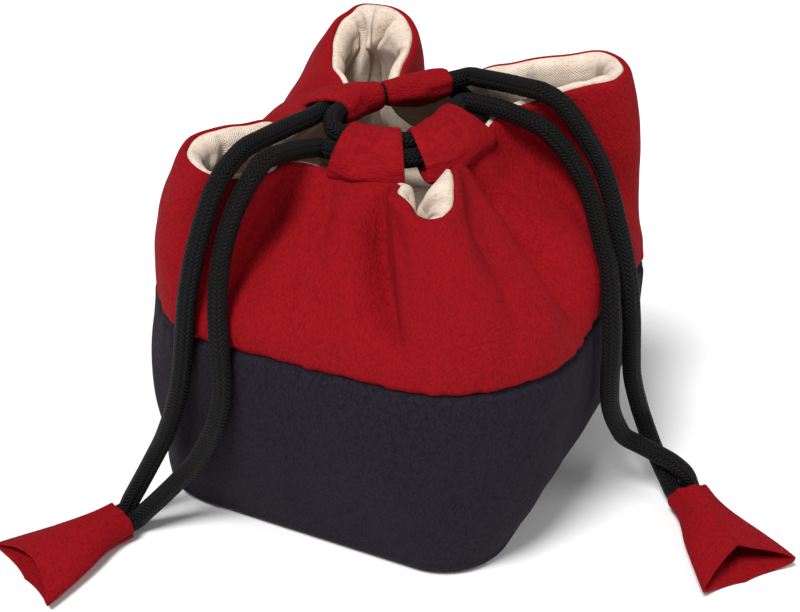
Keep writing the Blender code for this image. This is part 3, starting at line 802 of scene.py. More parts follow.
# The petals between the loops, in the same order: front right, back right, back left, front left
LOBES = (
    Lobe(-52, 0.048, 0.029, 42, (0, 4), (
        (0.59, -0.70, -0.03), (0.75, -0.77, -0.07), (0.89, -0.64, -0.10), (0.98, -0.26, -0.11),
        (0.98, 0.22, -0.09), (0.87, 0.64, -0.04), (0.62, 0.86, 0.06))),
    Lobe(36, 0.066, 0.027, 15, (15, 15), (
        (0.47, -0.01, 0.25), (0.63, -0.23, 0.50), (0.81, -0.43, 0.72), (0.96, -0.46, 0.82),
        (1.03, -0.16, 0.90), (1.05, 0.38, 0.96), (0.99, 0.88, 0.97), (0.84, 1.24, 0.90),
        (0.67, 1.53, 0.78), (0.53, 1.85, 0.62), (0.41, 2.20, 0.42))),
    Lobe(127, 0.065, 0.033, 20, (12, 44), (
        (0.53, -0.50, 0.36), (0.64, -0.90, 0.57), (0.78, -1.03, 0.77), (0.93, -0.82, 0.90),
        (1.03, -0.37, 0.97), (1.04, 0.17, 0.97), (0.95, 0.65, 0.85), (0.80, 0.91, 0.68),
        (0.63, 1.02, 0.50))),
    Lobe(228, 0.065, 0.030, 30, (15, 15), (
        (0.48, -1.43, 0.25), (0.57, -1.35, 0.30), (0.70, -1.16, 0.35), (0.82, -0.96, 0.38),
        (0.93, -0.74, 0.35), (1.00, -0.38, 0.30), (1.00, 0.11, 0.23), (0.95, 0.53, 0.15),
        (0.85, 0.76, 0.07), (0.73, 0.81, 0.04), (0.62, 0.65, 0.01), (0.52, 0.46, 0.00))),
)


@dataclass(frozen=True)
class RoundedSquare:
    """One level of the lower band."""

    side: float
    corner: float
    centre: tuple[float, float]
    level: float


@dataclass(frozen=True)
class Pleat:
    """A fold that runs from the rim down to the seam.

    The two turns are where it starts and ends, the width is in turns, the share is of the
    common depth, and the lean makes one of its flanks steeper than the other.
    """

    at_rim: float
    at_seam: float
    width: float
    share: float
    lean: float = 0.0

    def depth(self, turn: np.ndarray, height: np.ndarray) -> np.ndarray:
        """A bell round the fold's line, wider at the seam than at the rim.

        Args:
            turn: quarter turns.
            height: heights on the upper band.

        Returns:
            The fold's depth, as a share of the common depth.
        """
        line = self.at_seam + (self.at_rim - self.at_seam) * ease(height, 0.0, 1.0)
        off = np.mod(turn - line + 2, 4) - 2
        off /= self.width * (PLEAT_WIDE - PLEAT_NARROWS * height) * (1 + self.lean * np.sign(off))
        return self.share * np.exp(-np.abs(off) ** PLEAT_POWER)


@dataclass(frozen=True)
class Swell:
    """A place on the turn where something is more, or less, over a width in turns."""

    place: float
    width: float
    share: float

    def at(self, turn: np.ndarray) -> np.ndarray:
        """The share in the middle, falling off as a bell."""
        return self.share * np.exp(-((turn - self.place) / self.width) ** 2)

    def round_at(self, turn: np.ndarray) -> np.ndarray:
        """The same bell, which also reaches across the end of the last turn."""
        off = np.mod(turn - self.place + 2, 4) - 2
        return self.share * np.exp(-(off / self.width) ** 2)


@dataclass(frozen=True)
class Relief:
    """Random relief on the cloth: cells round the pouch, a cell's height, depth and seed."""

    cells: int
    tall: float
    depth: float
    seed: int

    def at(self, turn: np.ndarray, run: np.ndarray, variant: int = 0) -> np.ndarray:
        """The relief at turns and at distances up the cloth; a variant has another seed."""
        return crumple(turn, run, self.cells, self.tall, self.seed + variant) * self.depth


@dataclass
class Wall:
    """The padded wall as one surface of turn and height, with its pleats and crumples.

    Base, belly and seam give the lower band its shape. Upper is the red cloth's height from
    the seam to the rim, rim is the rim's level at the loops, and rise is how far the highest
    petal stands above it. Girth is the weave's coordinate once round.
    """

    base: RoundedSquare = RoundedSquare(0.1130, 0.021, (-0.0038, -0.001), 0.0045)
    belly: RoundedSquare = RoundedSquare(0.130, 0.036, (-0.0011, -0.0001), 0.032)
    seam: RoundedSquare = RoundedSquare(0.132, 0.042, (0.0007, -0.0001), 0.066)
    upper: float = 0.060
    rim: float = 0.105
    rise: float = 0.020
    columns: int = 440
    girth: float = 0.48
    slope_spread: tuple[float, ...] = (-0.06, -0.03, 0.0, 0.03, 0.06)

    # Where the red cloth ends on the roll over the rim, as an angle from its outer face
    seam_angle: float = 1.25
    turned_in: Swell = Swell(0.33, 0.10, 1.15)

    # Folds of the upper band below the loops, and the heights where they set in and flatten
    pleat_depth: float = 0.0055
    pleats_set_in: tuple[float, float] = (0.03, 0.50)
    pleats_flatten: tuple[float, float] = (0.8, 1.0)
    flattened: float = 0.65
    pleats: tuple[Pleat, ...] = (
        Pleat(0.14, 0.28, 0.055, 1.20, -0.40), Pleat(0.93, 0.81, 0.090, 2.60, 0.55),
        Pleat(1.22, 1.34, 0.050, 0.50), Pleat(1.88, 1.76, 0.060, 0.80),
        Pleat(3.14, 3.26, 0.060, 0.80), Pleat(3.87, 3.75, 0.060, 1.55, 0.25),
        Pleat(3.98, 4.07, 0.035, 0.35), Pleat(0.68, 0.56, 0.050, 0.25))

    # Random relief of both bands, and the valley of the seam between them
    gathers: Relief = Relief(46, 0.050, 0.0010, 3)
    dents: Relief = Relief(22, 0.024, 0.0011, 5)
    small_dents: Relief = Relief(64, 0.012, 0.00042, 9)
    seam_puckers: Relief = Relief(150, 0.011, 0.00050, 11)
    pucker_reach: float = 0.0075
    valley_depth: float = 0.0014
    valley_reach: float = 0.0012
    sunk: float = 0.0007
    gathers_set_in: tuple[float, float] = (0.1, 0.7)
    foot_fade: tuple[float, float] = (-1.02, -0.80)

    # Padding that swells the lining into the mouth, and the tucks across it
    plump_depth: float = 0.0042
    plump_even: float = 0.8
    plump_relief: Relief = Relief(30, 0.02, 0.35, 31)
    plump_from_loop: tuple[float, float] = (0.10, 0.26)
    plump_rises: tuple[float, float] = (0.0, 0.0090)
    plump_sinks: tuple[float, float] = (0.030, 0.064)
    plump_sunk: float = 0.75
    swells: tuple[Swell, ...] = (
        Swell(0.26, 0.09, -0.95), Swell(0.50, 0.10, 2.40), Swell(0.68, 0.10, 1.30),
        Swell(1.50, 0.25, 0.10), Swell(2.24, 0.11, 0.9), Swell(2.46, 0.13, 1.9),
        Swell(2.70, 0.10, 0.6), Swell(3.45, 0.25, 0.15))
    tucks: tuple[Swell, ...] = (
        Swell(0.39, 0.020, 0.9), Swell(1.30, 0.014, 0.7), Swell(1.52, 0.018, 0.9),
        Swell(1.72, 0.014, 0.7), Swell(2.335, 0.016, 0.8), Swell(2.56, 0.010, 0.9),
        Swell(2.74, 0.014, 0.5), Swell(3.35, 0.014, 0.7), Swell(3.60, 0.018, 0.9))

    rim_rows: tuple[np.ndarray, np.ndarray, np.ndarray] = field(init=False)

    def __post_init__(self) -> None:
        """Works out the rim's turns, points and slopes from the loops and the petals."""
        seats = list(SEATS.values())
        turns, points, slopes = [], [], []
        for quarter, lobe in enumerate(LOBES):
            seat, after = seats[quarter], seats[(quarter + 1) % 4]
            stops = [seat.rim_point(seat.sewn[1]), seat.rim_point(seat.sewn[2]),
                     *lobe.rim(self.rim, self.rise),
                     after.rim_point(after.sewn[0]), after.rim_point(after.sewn[1])]
            runs = runs_of(np.array([stop[0] for stop in stops]))
            turns += list(quarter + runs[:-1] / runs[-1])
            points += [stop[0] for stop in stops[:-1]]
            slopes += [stop[1] for stop in stops[:-1]]
        self.rim_rows = np.array(turns), np.array(points), np.array(slopes)

    def turns(self) -> np.ndarray:
        """The wall's columns, evenly spaced."""
        return np.linspace(0, 4, self.columns, endpoint=False)

    def height_at(self, z: float) -> float:
        """The height value of a level on the lower band."""
        return (z - self.base.level) / (self.seam.level - self.base.level) - 1

    @staticmethod
    def square(turn: np.ndarray, side: np.ndarray, corner: np.ndarray) -> np.ndarray:
        """Points on a rounded square: half a side, a quarter circle, half a side, four times.

        Args:
            turn: quarter turns from the middle of the front side.
            side: the square's side at each turn.
            corner: its corner radius at each turn.

        Returns:
            The points, level with the ground.
        """
        straight = side / 2 - corner
        arc = corner * math.pi / 2
        quarter = np.floor(turn)
        run = (turn - quarter) * (2 * straight + arc)
        angle = np.clip((run - straight) / corner, 0, math.pi / 2)
        x = np.minimum(run, straight) + corner * np.sin(angle)
        y = -side / 2 + corner * (1 - np.cos(angle)) + np.maximum(run - straight - arc, 0)
        spin = quarter * math.pi / 2
        return np.stack((x * np.cos(spin) - y * np.sin(spin),
                         x * np.sin(spin) + y * np.cos(spin), np.zeros_like(x)), -1)

    def lower_outline(self, turn: np.ndarray, height: np.ndarray) -> np.ndarray:
        """The lower band without relief: rounded squares, as a parabola through three levels.

        Args:
            turn: quarter turns.
            height: heights on the lower band.

        Returns:
            The points.
        """
        z = self.base.level + (height + 1) * (self.seam.level - self.base.level)
        squares = (self.base, self.belly, self.seam)
        shares = []
        for square in squares:
            p, q = (other.level for other in squares if other is not square)
            shares.append((z - p) * (z - q) / ((square.level - p) * (square.level - q)))
        side, corner, x, y = (
            sum(share * value for share, value in zip(shares, values))
            for values in zip(*((square.side, square.corner, *square.centre) for square in squares)))
        return self.square(turn, side, corner) + np.stack((x, y, z), -1)

    def upper_outline(self, turn: np.ndarray, height: np.ndarray) -> np.ndarray:
        """The upper band without relief: a cubic for each thread, between two slopes.

        A thread leaves the seam upright and arrives at the rim on the slope of the loop or
        petal that it meets, averaged over near turns.

        Args:
            turn: quarter turns.
            height: heights on the upper band.

        Returns:
            The points.
        """
        turns, points, slopes = self.rim_rows
        foot = self.lower_outline(turn, np.zeros_like(turn))
        rim = curve_through(turns, points, turn, 4)
        slope = unit(sum(curve_through(turns, slopes, turn + spread, 4)
                         for spread in self.slope_spread))
        t = height[..., None]
        return ((1 + 2 * t) * (1 - t) ** 2 * foot + t * (1 - t) ** 2 * self.upper * UP
                + t * t * (3 - 2 * t) * rim - t * t * (1 - t) * self.upper * slope)

    def smooth(self, turn: np.ndarray, height: np.ndarray) -> np.ndarray:
        """The outer surface without pleats.

        Args:
            turn: quarter turns.
            height: heights.

        Returns:
            The points.
        """
        below = self.lower_outline(turn, np.minimum(height, 0.0))
        above = self.upper_outline(turn, np.clip(height, 0.0, 1.0))
        return np.where((height < 0)[..., None], below, above)

    @staticmethod
    def outward(surface: Callable[..., np.ndarray], turn: np.ndarray, height: np.ndarray,
                ) -> np.ndarray:
        """Unit normals of a surface: square to its slopes along the turn and the height.

        Args:
            surface: a function of turn and height.
            turn: quarter turns.
            height: heights.

        Returns:
            The normals, pointing out.
        """
        step = 0.004
        top = np.minimum(height + step, 1.0)
        along = surface(turn + step, height) - surface(turn - step, height)
        return unit(np.cross(along, surface(turn, top) - surface(turn, top - 2 * step)))

    def drawn_in(self, turn: np.ndarray, height: np.ndarray) -> np.ndarray:
        """How far the cloth lies below the smooth outline: pleats, crumples and the seam.

        Pleats fade out at the seam and grow shallower at the rim. Puckers and the valley are
        bells round the seam. All of it fades out at the foot.

        Args:
            turn: quarter turns.
            height: heights.

        Returns:
            The depths.
        """
        depth = sum(pleat.depth(turn, height) for pleat in self.pleats)
        depth *= self.pleat_depth * ease(height, *self.pleats_set_in) * (
            1 - self.flattened * ease(height, *self.pleats_flatten))
        run = height * self.upper
        gathers = self.gathers.at(turn, run) * ease(height, *self.gathers_set_in)
        dents = self.dents.at(turn, run)
        small = self.small_dents.at(turn, run)
        puckers = self.seam_puckers.at(turn, run) * np.exp(-(run / self.pucker_reach) ** 2)
        valley = self.valley_depth * np.exp(-(run / self.valley_reach) ** 2)
        return (depth + gathers + dents + small + puckers + valley + self.sunk) * ease(
            height, *self.foot_fade)

    def outer(self, turn: np.ndarray, height: np.ndarray) -> np.ndarray:
        """The wall's outer surface: the smooth one, sunk along its normals.

        Args:
            turn: quarter turns.
            height: heights.

        Returns:
            The points.
        """
        turn, height = np.broadcast_arrays(np.asarray(turn, float), np.asarray(height, float))
        normal = self.outward(self.smooth, turn, height)
        return self.smooth(turn, height) - normal * self.drawn_in(turn, height)[..., None]

    def layer(self, height: np.ndarray, depth: Number) -> np.ndarray:
        """Rows of the wall at each height, a depth below its outer face.

        Args:
            height: the rows' heights.
            depth: one depth, or an array of rows, columns and one value.

        Returns:
            An array of rows, columns and coordinates.
        """
        turn, rows = np.meshgrid(self.turns(), height)
        return self.outer(turn, rows) - self.outward(self.smooth, turn, rows) * depth

    def seam_angles(self) -> np.ndarray:
        """Where the red cloth ends on the roll, further over at the left of the front petal."""
        return self.seam_angle + self.turned_in.at(self.turns())

    def roll(self, radius: Number, angles: np.ndarray) -> np.ndarray:
        """Rows over the rim: arcs round the middle of the wall, counted from its outer face.

        Args:
            radius: one radius, or an array of rows, columns and one value.
            angles: an array of rows and columns, or of rows and one value.

        Returns:
            An array of rows, columns and coordinates.
        """
        turns = self.turns()
        near = 0.02
        one = np.ones_like(turns)
        top = self.outer(turns, one)
        normal = self.outward(self.smooth, turns, one)
        along = unit(self.smooth(turns + near, one) - self.smooth(turns - near, one))
        slope = np.cross(normal, along)
        angles = angles[..., None]
        return (top - normal * (GAUGE.wall / 2)
                + (normal * np.cos(angles) + slope * np.sin(angles)) * radius)

    def plump(self, run: np.ndarray) -> np.ndarray:
        """How far the lining swells into the mouth, at distances from its seam with the rim.

        The swelling rises over a few millimetres, sinks further down, leaves out the places
        under the loops and dips along the tucks.

        Args:
            run: distances from the seam, in rows and columns.

        Returns:
            The swelling's height at each.
        """
        turn, run = np.broadcast_arrays(self.turns(), run)
        from_loop = np.abs(np.mod(turn + 0.5, 1) - 0.5)
        swell = self.plump_depth * ease(from_loop, *self.plump_from_loop) * (
            self.plump_even + self.plump_relief.at(turn, run))
        for more in self.swells:
            swell *= 1 + more.at(turn)
        for tuck in self.tucks:
            swell *= 1 - tuck.round_at(turn)
        return swell * ease(run, *self.plump_rises) * (
            1 - self.plump_sunk * ease(run, *self.plump_sinks))

    def tree(self) -> BVHTree:
        """The wall's faces and its roll, for finding the nearest point on them.

        Returns:
            A tree of four-cornered faces.
        """
        heights = np.linspace(-1, 1, 60)
        margin = 0.3
        angles = np.linspace(margin, math.pi - margin, 9)[:, None]
        runs = np.maximum(angles - self.seam_angles(), 0) * GAUGE.wall / 2
        rows = np.concatenate((self.layer(heights, 0.0),
                               self.roll(GAUGE.wall / 2 + self.plump(runs)[..., None], angles),
                               self.layer(heights[::-1], GAUGE.wall)))
        count = rows.shape[1]
        low, here = np.meshgrid(np.arange(len(rows) - 1), np.arange(count), indexing="ij")
        after = (here + 1) % count
        faces = np.stack((low * count + here, low * count + after, (low + 1) * count + after,
                          (low + 1) * count + here), -1).reshape(-1, 4)
        return BVHTree.FromPolygons([Vector(p) for p in rows.reshape(-1, 3)], faces.tolist())

    def around(self) -> np.ndarray:
        """The weave's coordinate along the turn, in metres."""
        return np.linspace(0, self.girth, self.columns + 1)


# The bag


@dataclass
class Bag:
    """The pouch: base, two bands of crepe and the linen lining."""

    wall: Wall
    finishes: Wardrobe

    # Where the navy band starts on the foot's quarter circle, as an angle from straight down,
    # how much sooner the bottom ends there, and the share of the bottom that is one flat face
    tucked: float = 0.62
    bottom_short: float = 0.06
    flat_share: float = 0.5

    # The bands' rows, in heights: far from the seam and near it, and half the parting there
    navy_far: tuple[float, float] = (-0.995, -0.04)
    navy_near: float = -0.035
    red_near: float = 0.04
    red_far: tuple[float, float] = (0.05, 1.0)
    navy_rows: int = 44
    red_rows: int = 84
    near_rows: int = 10
    parting: float = 0.0015

    # The red cloth on the roll: its first angle, how far its edge dips, over which angle, and
    # how much thicker than one layer it is there
    roll_start: float = 0.15
    roll_rows: int = 13
    edge_dip: float = 0.0009
    edge_turn: float = 0.35
    thick_edge: float = 0.0006

    # The linen: its rows on the lower band, the upper band and the roll, how wide its edge dips
    # beside the red cloth, the loft of its padding, which is not used, and its lowest level
    lining_low_rows: int = 24
    lining_high: tuple[float, float] = (0.02, 0.985)
    lining_high_rows: int = 60
    lining_roll_rows: int = 16
    edge_run: float = 0.0010
    padding: float = 0.5
    lining_foot: float = 0.0060

    # The linen bottom: its rings as shares of its side, and their levels as shares of its cloth
    floor_level: float = 0.0046
    floor_rings: tuple[float, ...] = (0.02, 0.3, 0.6, 0.9, 0.985, 1.0, 1.0, 0.985, 0.6, 0.02)
    floor_levels: tuple[float, ...] = (1.0, 1.0, 1.0, 1.0, 0.97, 0.7, 0.2, 0.0, 0.0, 0.0)
    floor_corner: float = 0.8
    floor_corners: int = 160
    floor_girth: float = 0.42

    @staticmethod
    def up_the_cloth(rows: np.ndarray) -> np.ndarray:
        """The weave's coordinate along the rows, from the mean distance between them.

        Args:
            rows: an array of rows, columns and coordinates, which returns to where it starts.

        Returns:
            One value for each row, and one for the first row again.
        """
        some = rows[:, ::8]
        steps = np.linalg.norm(np.diff(some, axis=0), axis=2).mean(1)
        back = np.linalg.norm(some[0] - some[-1], axis=1).mean()
        return np.concatenate(([0.0], np.cumsum(steps), [steps.sum() + back]))

    def shell(self, name: str, rows: np.ndarray) -> bpy.types.Object:
        """A closed shell from rows that return to where they start."""
        return skin(name, rows, self.wall.around(), self.up_the_cloth(rows), closed_rows=True)

    def navy_band(self) -> None:
        """The navy band: under the foot, up to the seam, and its inner face back down."""
        wall = self.wall
        foot = wall.base.level
        out = np.concatenate((np.linspace(*self.navy_far, self.navy_rows),
                              np.linspace(self.navy_near, -self.parting, self.near_rows)))
        angles = np.linspace(self.tucked, math.pi / 2, 10)
        rows = np.concatenate((self.curl(angles, foot), wall.layer(out, 0.0),
                               wall.layer(out[::-6], GAUGE.cloth),
                               self.curl(angles[::-2], foot - GAUGE.cloth)))
        dress(self.shell("navy_band", rows), self.finishes.navy, "navy_crepe", "bag", "lower_band")

    def red_band(self) -> None:
        """The red band: from the seam to the rim, over it, and its inner face back down."""
        wall = self.wall
        middle = GAUGE.wall / 2
        out = np.concatenate((np.linspace(self.parting, self.red_near, self.near_rows),
                              np.linspace(*self.red_far, self.red_rows)))
        seam = wall.seam_angles()
        steps = np.linspace(0, 1, self.roll_rows)[:, None]
        angles = self.roll_start + (seam - self.roll_start) * steps
        dip = (self.edge_dip * ease(angles, seam - self.edge_turn, seam))[..., None]
        rows = np.concatenate((
            wall.layer(out, 0.0), wall.roll(middle - dip, angles),
            wall.roll(middle - GAUGE.cloth - self.thick_edge, angles[::-3]),
            wall.layer(out[::-8], GAUGE.cloth)))
        dress(self.shell("red_band", rows), self.finishes.red, "red_crepe", "bag", "upper_band")

    def linen_wall(self) -> None:
        """The linen wall, which also stands for the padding behind it."""
        wall = self.wall
        middle, thin = GAUGE.wall / 2, GAUGE.lining
        low = wall.height_at(self.lining_foot)
        heights = np.concatenate((np.linspace(low, 0, self.lining_low_rows),
                                  np.linspace(*self.lining_high, self.lining_high_rows)))
        seam = wall.seam_angles()
        angles = seam + (math.pi - seam) * np.linspace(0, 1, self.lining_roll_rows)[:, None]
        bend = (angles - seam) * GAUGE.wall / 2
        down = bend[-1] + (1 - heights)[:, None] * wall.upper
        over, below = wall.plump(bend)[..., None], wall.plump(down)[..., None]
        dip = (self.edge_dip * (1 - ease(bend, 0.0, self.edge_run)))[..., None]
        rows = np.concatenate((
            wall.layer(heights, GAUGE.wall + below), wall.roll(middle + over - dip, angles)[::-1],
            wall.roll(middle + over - dip - thin, angles)[::3],
            wall.layer(heights[::-4], GAUGE.wall + below[::-4] - thin)))
        piece = self.shell("linen_wall", rows)
        dress(piece, self.finishes.linen, "linen", "bag", "lining_wall", "front_wadding",
              "right_wadding", "back_wadding", "left_wadding")

    def linen_bottom(self) -> None:
        """The linen bottom, a flat plate of rounded squares, which also stands for its padding."""
        base = self.wall.base
        turns = np.linspace(0, 4, self.floor_corners, endpoint=False)
        side = base.side - 2 * base.level
        rings = []
        for share, level in zip(self.floor_rings, self.floor_levels):
            corner = np.full_like(turns, base.corner * self.floor_corner * share)
            ring = self.wall.square(turns, np.full_like(turns, side * share), corner)
            rings.append(ring + np.array((*base.centre, self.floor_level + level * GAUGE.lining)))
        points = np.array(rings)
        around = np.linspace(0, self.floor_girth, self.floor_corners + 1)
        piece = skin("linen_bottom", points, around, runs_of(points[:, 0]), caps=True)
        dress(piece, self.finishes.linen, "linen", "bag", "lining_base", "base_wadding")

    def ring(self, wide: float, z: float) -> np.ndarray:
        """One level ring of the foot, at the wall's columns.

        Args:
            wide: the ring's side.
            z: its level.

        Returns:
            The ring's points.
        """
        base = self.wall.base
        turns = self.wall.turns()
        corner = max(base.corner - (base.side - wide) / 2, base.corner / 3)
        full = np.full_like(turns, wide)
        return (self.wall.square(turns, full, np.full_like(turns, corner))
                + np.array((*base.centre, z)))

    def curl(self, angles: np.ndarray, radius: float) -> np.ndarray:
        """Rings on a quarter circle that turns from the flat foot up into the wall.

        Args:
            angles: the rings' places on the quarter circle.
            radius: its radius.

        Returns:
            An array of rings, columns and coordinates.
        """
        foot = self.wall.base.level
        side = self.wall.base.side - 2 * foot
        return np.array([self.ring(side + 2 * radius * math.sin(angle),
                                   foot - radius * math.cos(angle)) for angle in angles])

    def navy_bottom(self) -> None:
        """The navy bottom: flat where it stands and turned up a little under the band."""
        foot = self.wall.base.level
        side = (self.wall.base.side - 2 * foot) * self.flat_share
        angles = np.linspace(0, self.tucked - self.bottom_short, 5)
        points = np.concatenate((self.ring(side, 0.0)[None], self.curl(angles, foot),
                                 self.curl(angles[::-1], foot - GAUGE.cloth),
                                 self.ring(side, GAUGE.cloth)[None]))
        piece = skin("navy_bottom", points, self.wall.around(), runs_of(points[:, 0]), caps=True)
        dress(piece, self.finishes.navy, "navy_crepe", "bag", "outer_base_panel")

    def build(self) -> None:
        """All of the bag."""
        self.navy_bottom()
        self.navy_band()
        self.red_band()
        self.linen_wall()
        self.linen_bottom()


@dataclass
class Loops:
    """The four cloth loops: flattened tubes, puffed in the middle and sewn down below.

    Skirt is how far the cloth reaches down to the rim, puff is how far it stands off the cords
    in the middle, and slack is how loosely it goes round them. Girth is the weave's coordinate
    once round, and far_row the one where the rows are back at their start.
    """

    finishes: Wardrobe
    steps: int = 56
    sides: int = 72
    girth: float = 0.045
    far_row: float = 0.04
    skirt: float = 0.0052
    puff: float = 0.0011
    slack: float = 0.0003

    # Exponents of the cross section, up and out: 1 is an ellipse, less is squarer
    squareness: tuple[float, float] = (0.75, 0.85)

    # Small creases and wide folds, as shares of the tube's size, over its length. The folds
    # keep a share of their depth in the middle, and each loop has seeds of its own
    creases: Relief = Relief(12, 0.006, 0.070, 40)
    folds: Relief = Relief(5, 0.0045, 0.075, 41)
    length: float = 0.02
    fold_in_middle: float = 0.6
    tightness: float = 0.95
    seed_step: int = 7

    # The hem at both ends, in metres, the share of it that has rings of its own, and a branch's
    # length between two of its points
    hem: float = 0.0011
    hem_share: float = 0.9
    point_spacing: float = 0.0055

    def ring(self, seat: LoopSeat, place: np.ndarray, cloth: np.ndarray, variant: int) -> np.ndarray:
        """Rings round the tube: a superellipse whose lower side reaches down to the rim.

        Args:
            seat: the loop's stretch of its branch.
            place: places on the branch, one for each ring.
            cloth: how far each ring lies inside the outer face.
            variant: picks the creases.

        Returns:
            An array of rings, corners and coordinates.
        """
        point, _, lean, face = seat.branch.frame(place)
        angle = np.linspace(0, 2 * math.pi, self.sides, endpoint=False)
        share = ((place - seat.cloth[0]) / (seat.cloth[1] - seat.cloth[0]))[:, None]
        middle = np.sin(np.clip(share, 0, 1) * math.pi)
        cos, sin = np.cos(angle)[None], np.sin(angle)[None]
        square_up, square_out = self.squareness
        up = np.sign(cos) * np.abs(cos) ** square_up * (GAUGE.loop_height + self.slack)
        up = np.where(cos < 0, up * (1 + self.skirt / GAUGE.loop_height), up)
        out = np.sign(sin) * np.abs(sin) ** square_out * (GAUGE.loop_thick + self.puff * middle)
        quarter, run = np.broadcast_arrays(angle[None] / (math.pi / 2), share * self.length)
        creases = self.creases.at(quarter, run, variant)
        folds = self.folds.at(quarter, run, variant)
        size = self.tightness + creases + folds * (1 - (1 - self.fold_in_middle) * middle)
        up = (up - np.sign(up) * np.minimum(cloth[:, None], np.abs(up))) * size
        out = (out - np.sign(out) * np.minimum(cloth[:, None], np.abs(out))) * size
        return point[:, None] + lean[:, None] * up[..., None] + face[:, None] * out[..., None]

    def places(self, start: float, end: float) -> tuple[np.ndarray, np.ndarray]:
        """Where the rings stand on the branch: close together where the hem rounds over.

        Args:
            start: where the cloth starts on the branch.
            end: where it ends.

        Returns:
            The places, and how far each ring lies inside the outer face.
        """
        hem = self.hem / self.point_spacing
        edge = hem * (1 - np.sin(np.linspace(0, math.pi / 2, 6))[:-1]) * self.hem_share
        between = start + hem + (end - start - 2 * hem) * np.linspace(0, 1, self.steps)
        place = np.sort(np.concatenate((start + edge, between, end - edge)))
        from_end = np.minimum(place - start, end - place) / hem
        return place, GAUGE.loop_cloth * 0.5 * (1 - np.sqrt(np.clip(from_end, 0, 1)))

    def build(self) -> None:
        """The four loops, each an outer face and an inner face that meet at the hems."""
        for number, (side, seat) in enumerate(SEATS.items()):
            variant = number * self.seed_step
            place, cloth = self.places(*seat.cloth)
            inner = place[::-4]
            rows = np.concatenate((
                self.ring(seat, place, cloth, variant),
                self.ring(seat, inner, np.full_like(inner, GAUGE.loop_cloth), variant)))
            around = np.linspace(0, self.girth, self.sides + 1)
            along = np.concatenate((runs_of(rows[:, 0]), [self.far_row]))
            piece = skin(side.value + "_cloth_loop", rows, around, along, closed_rows=True)
            dress(piece, self.finishes.red, "red_crepe", "bag", side.value + "_loop")


# Cords and cloth ends


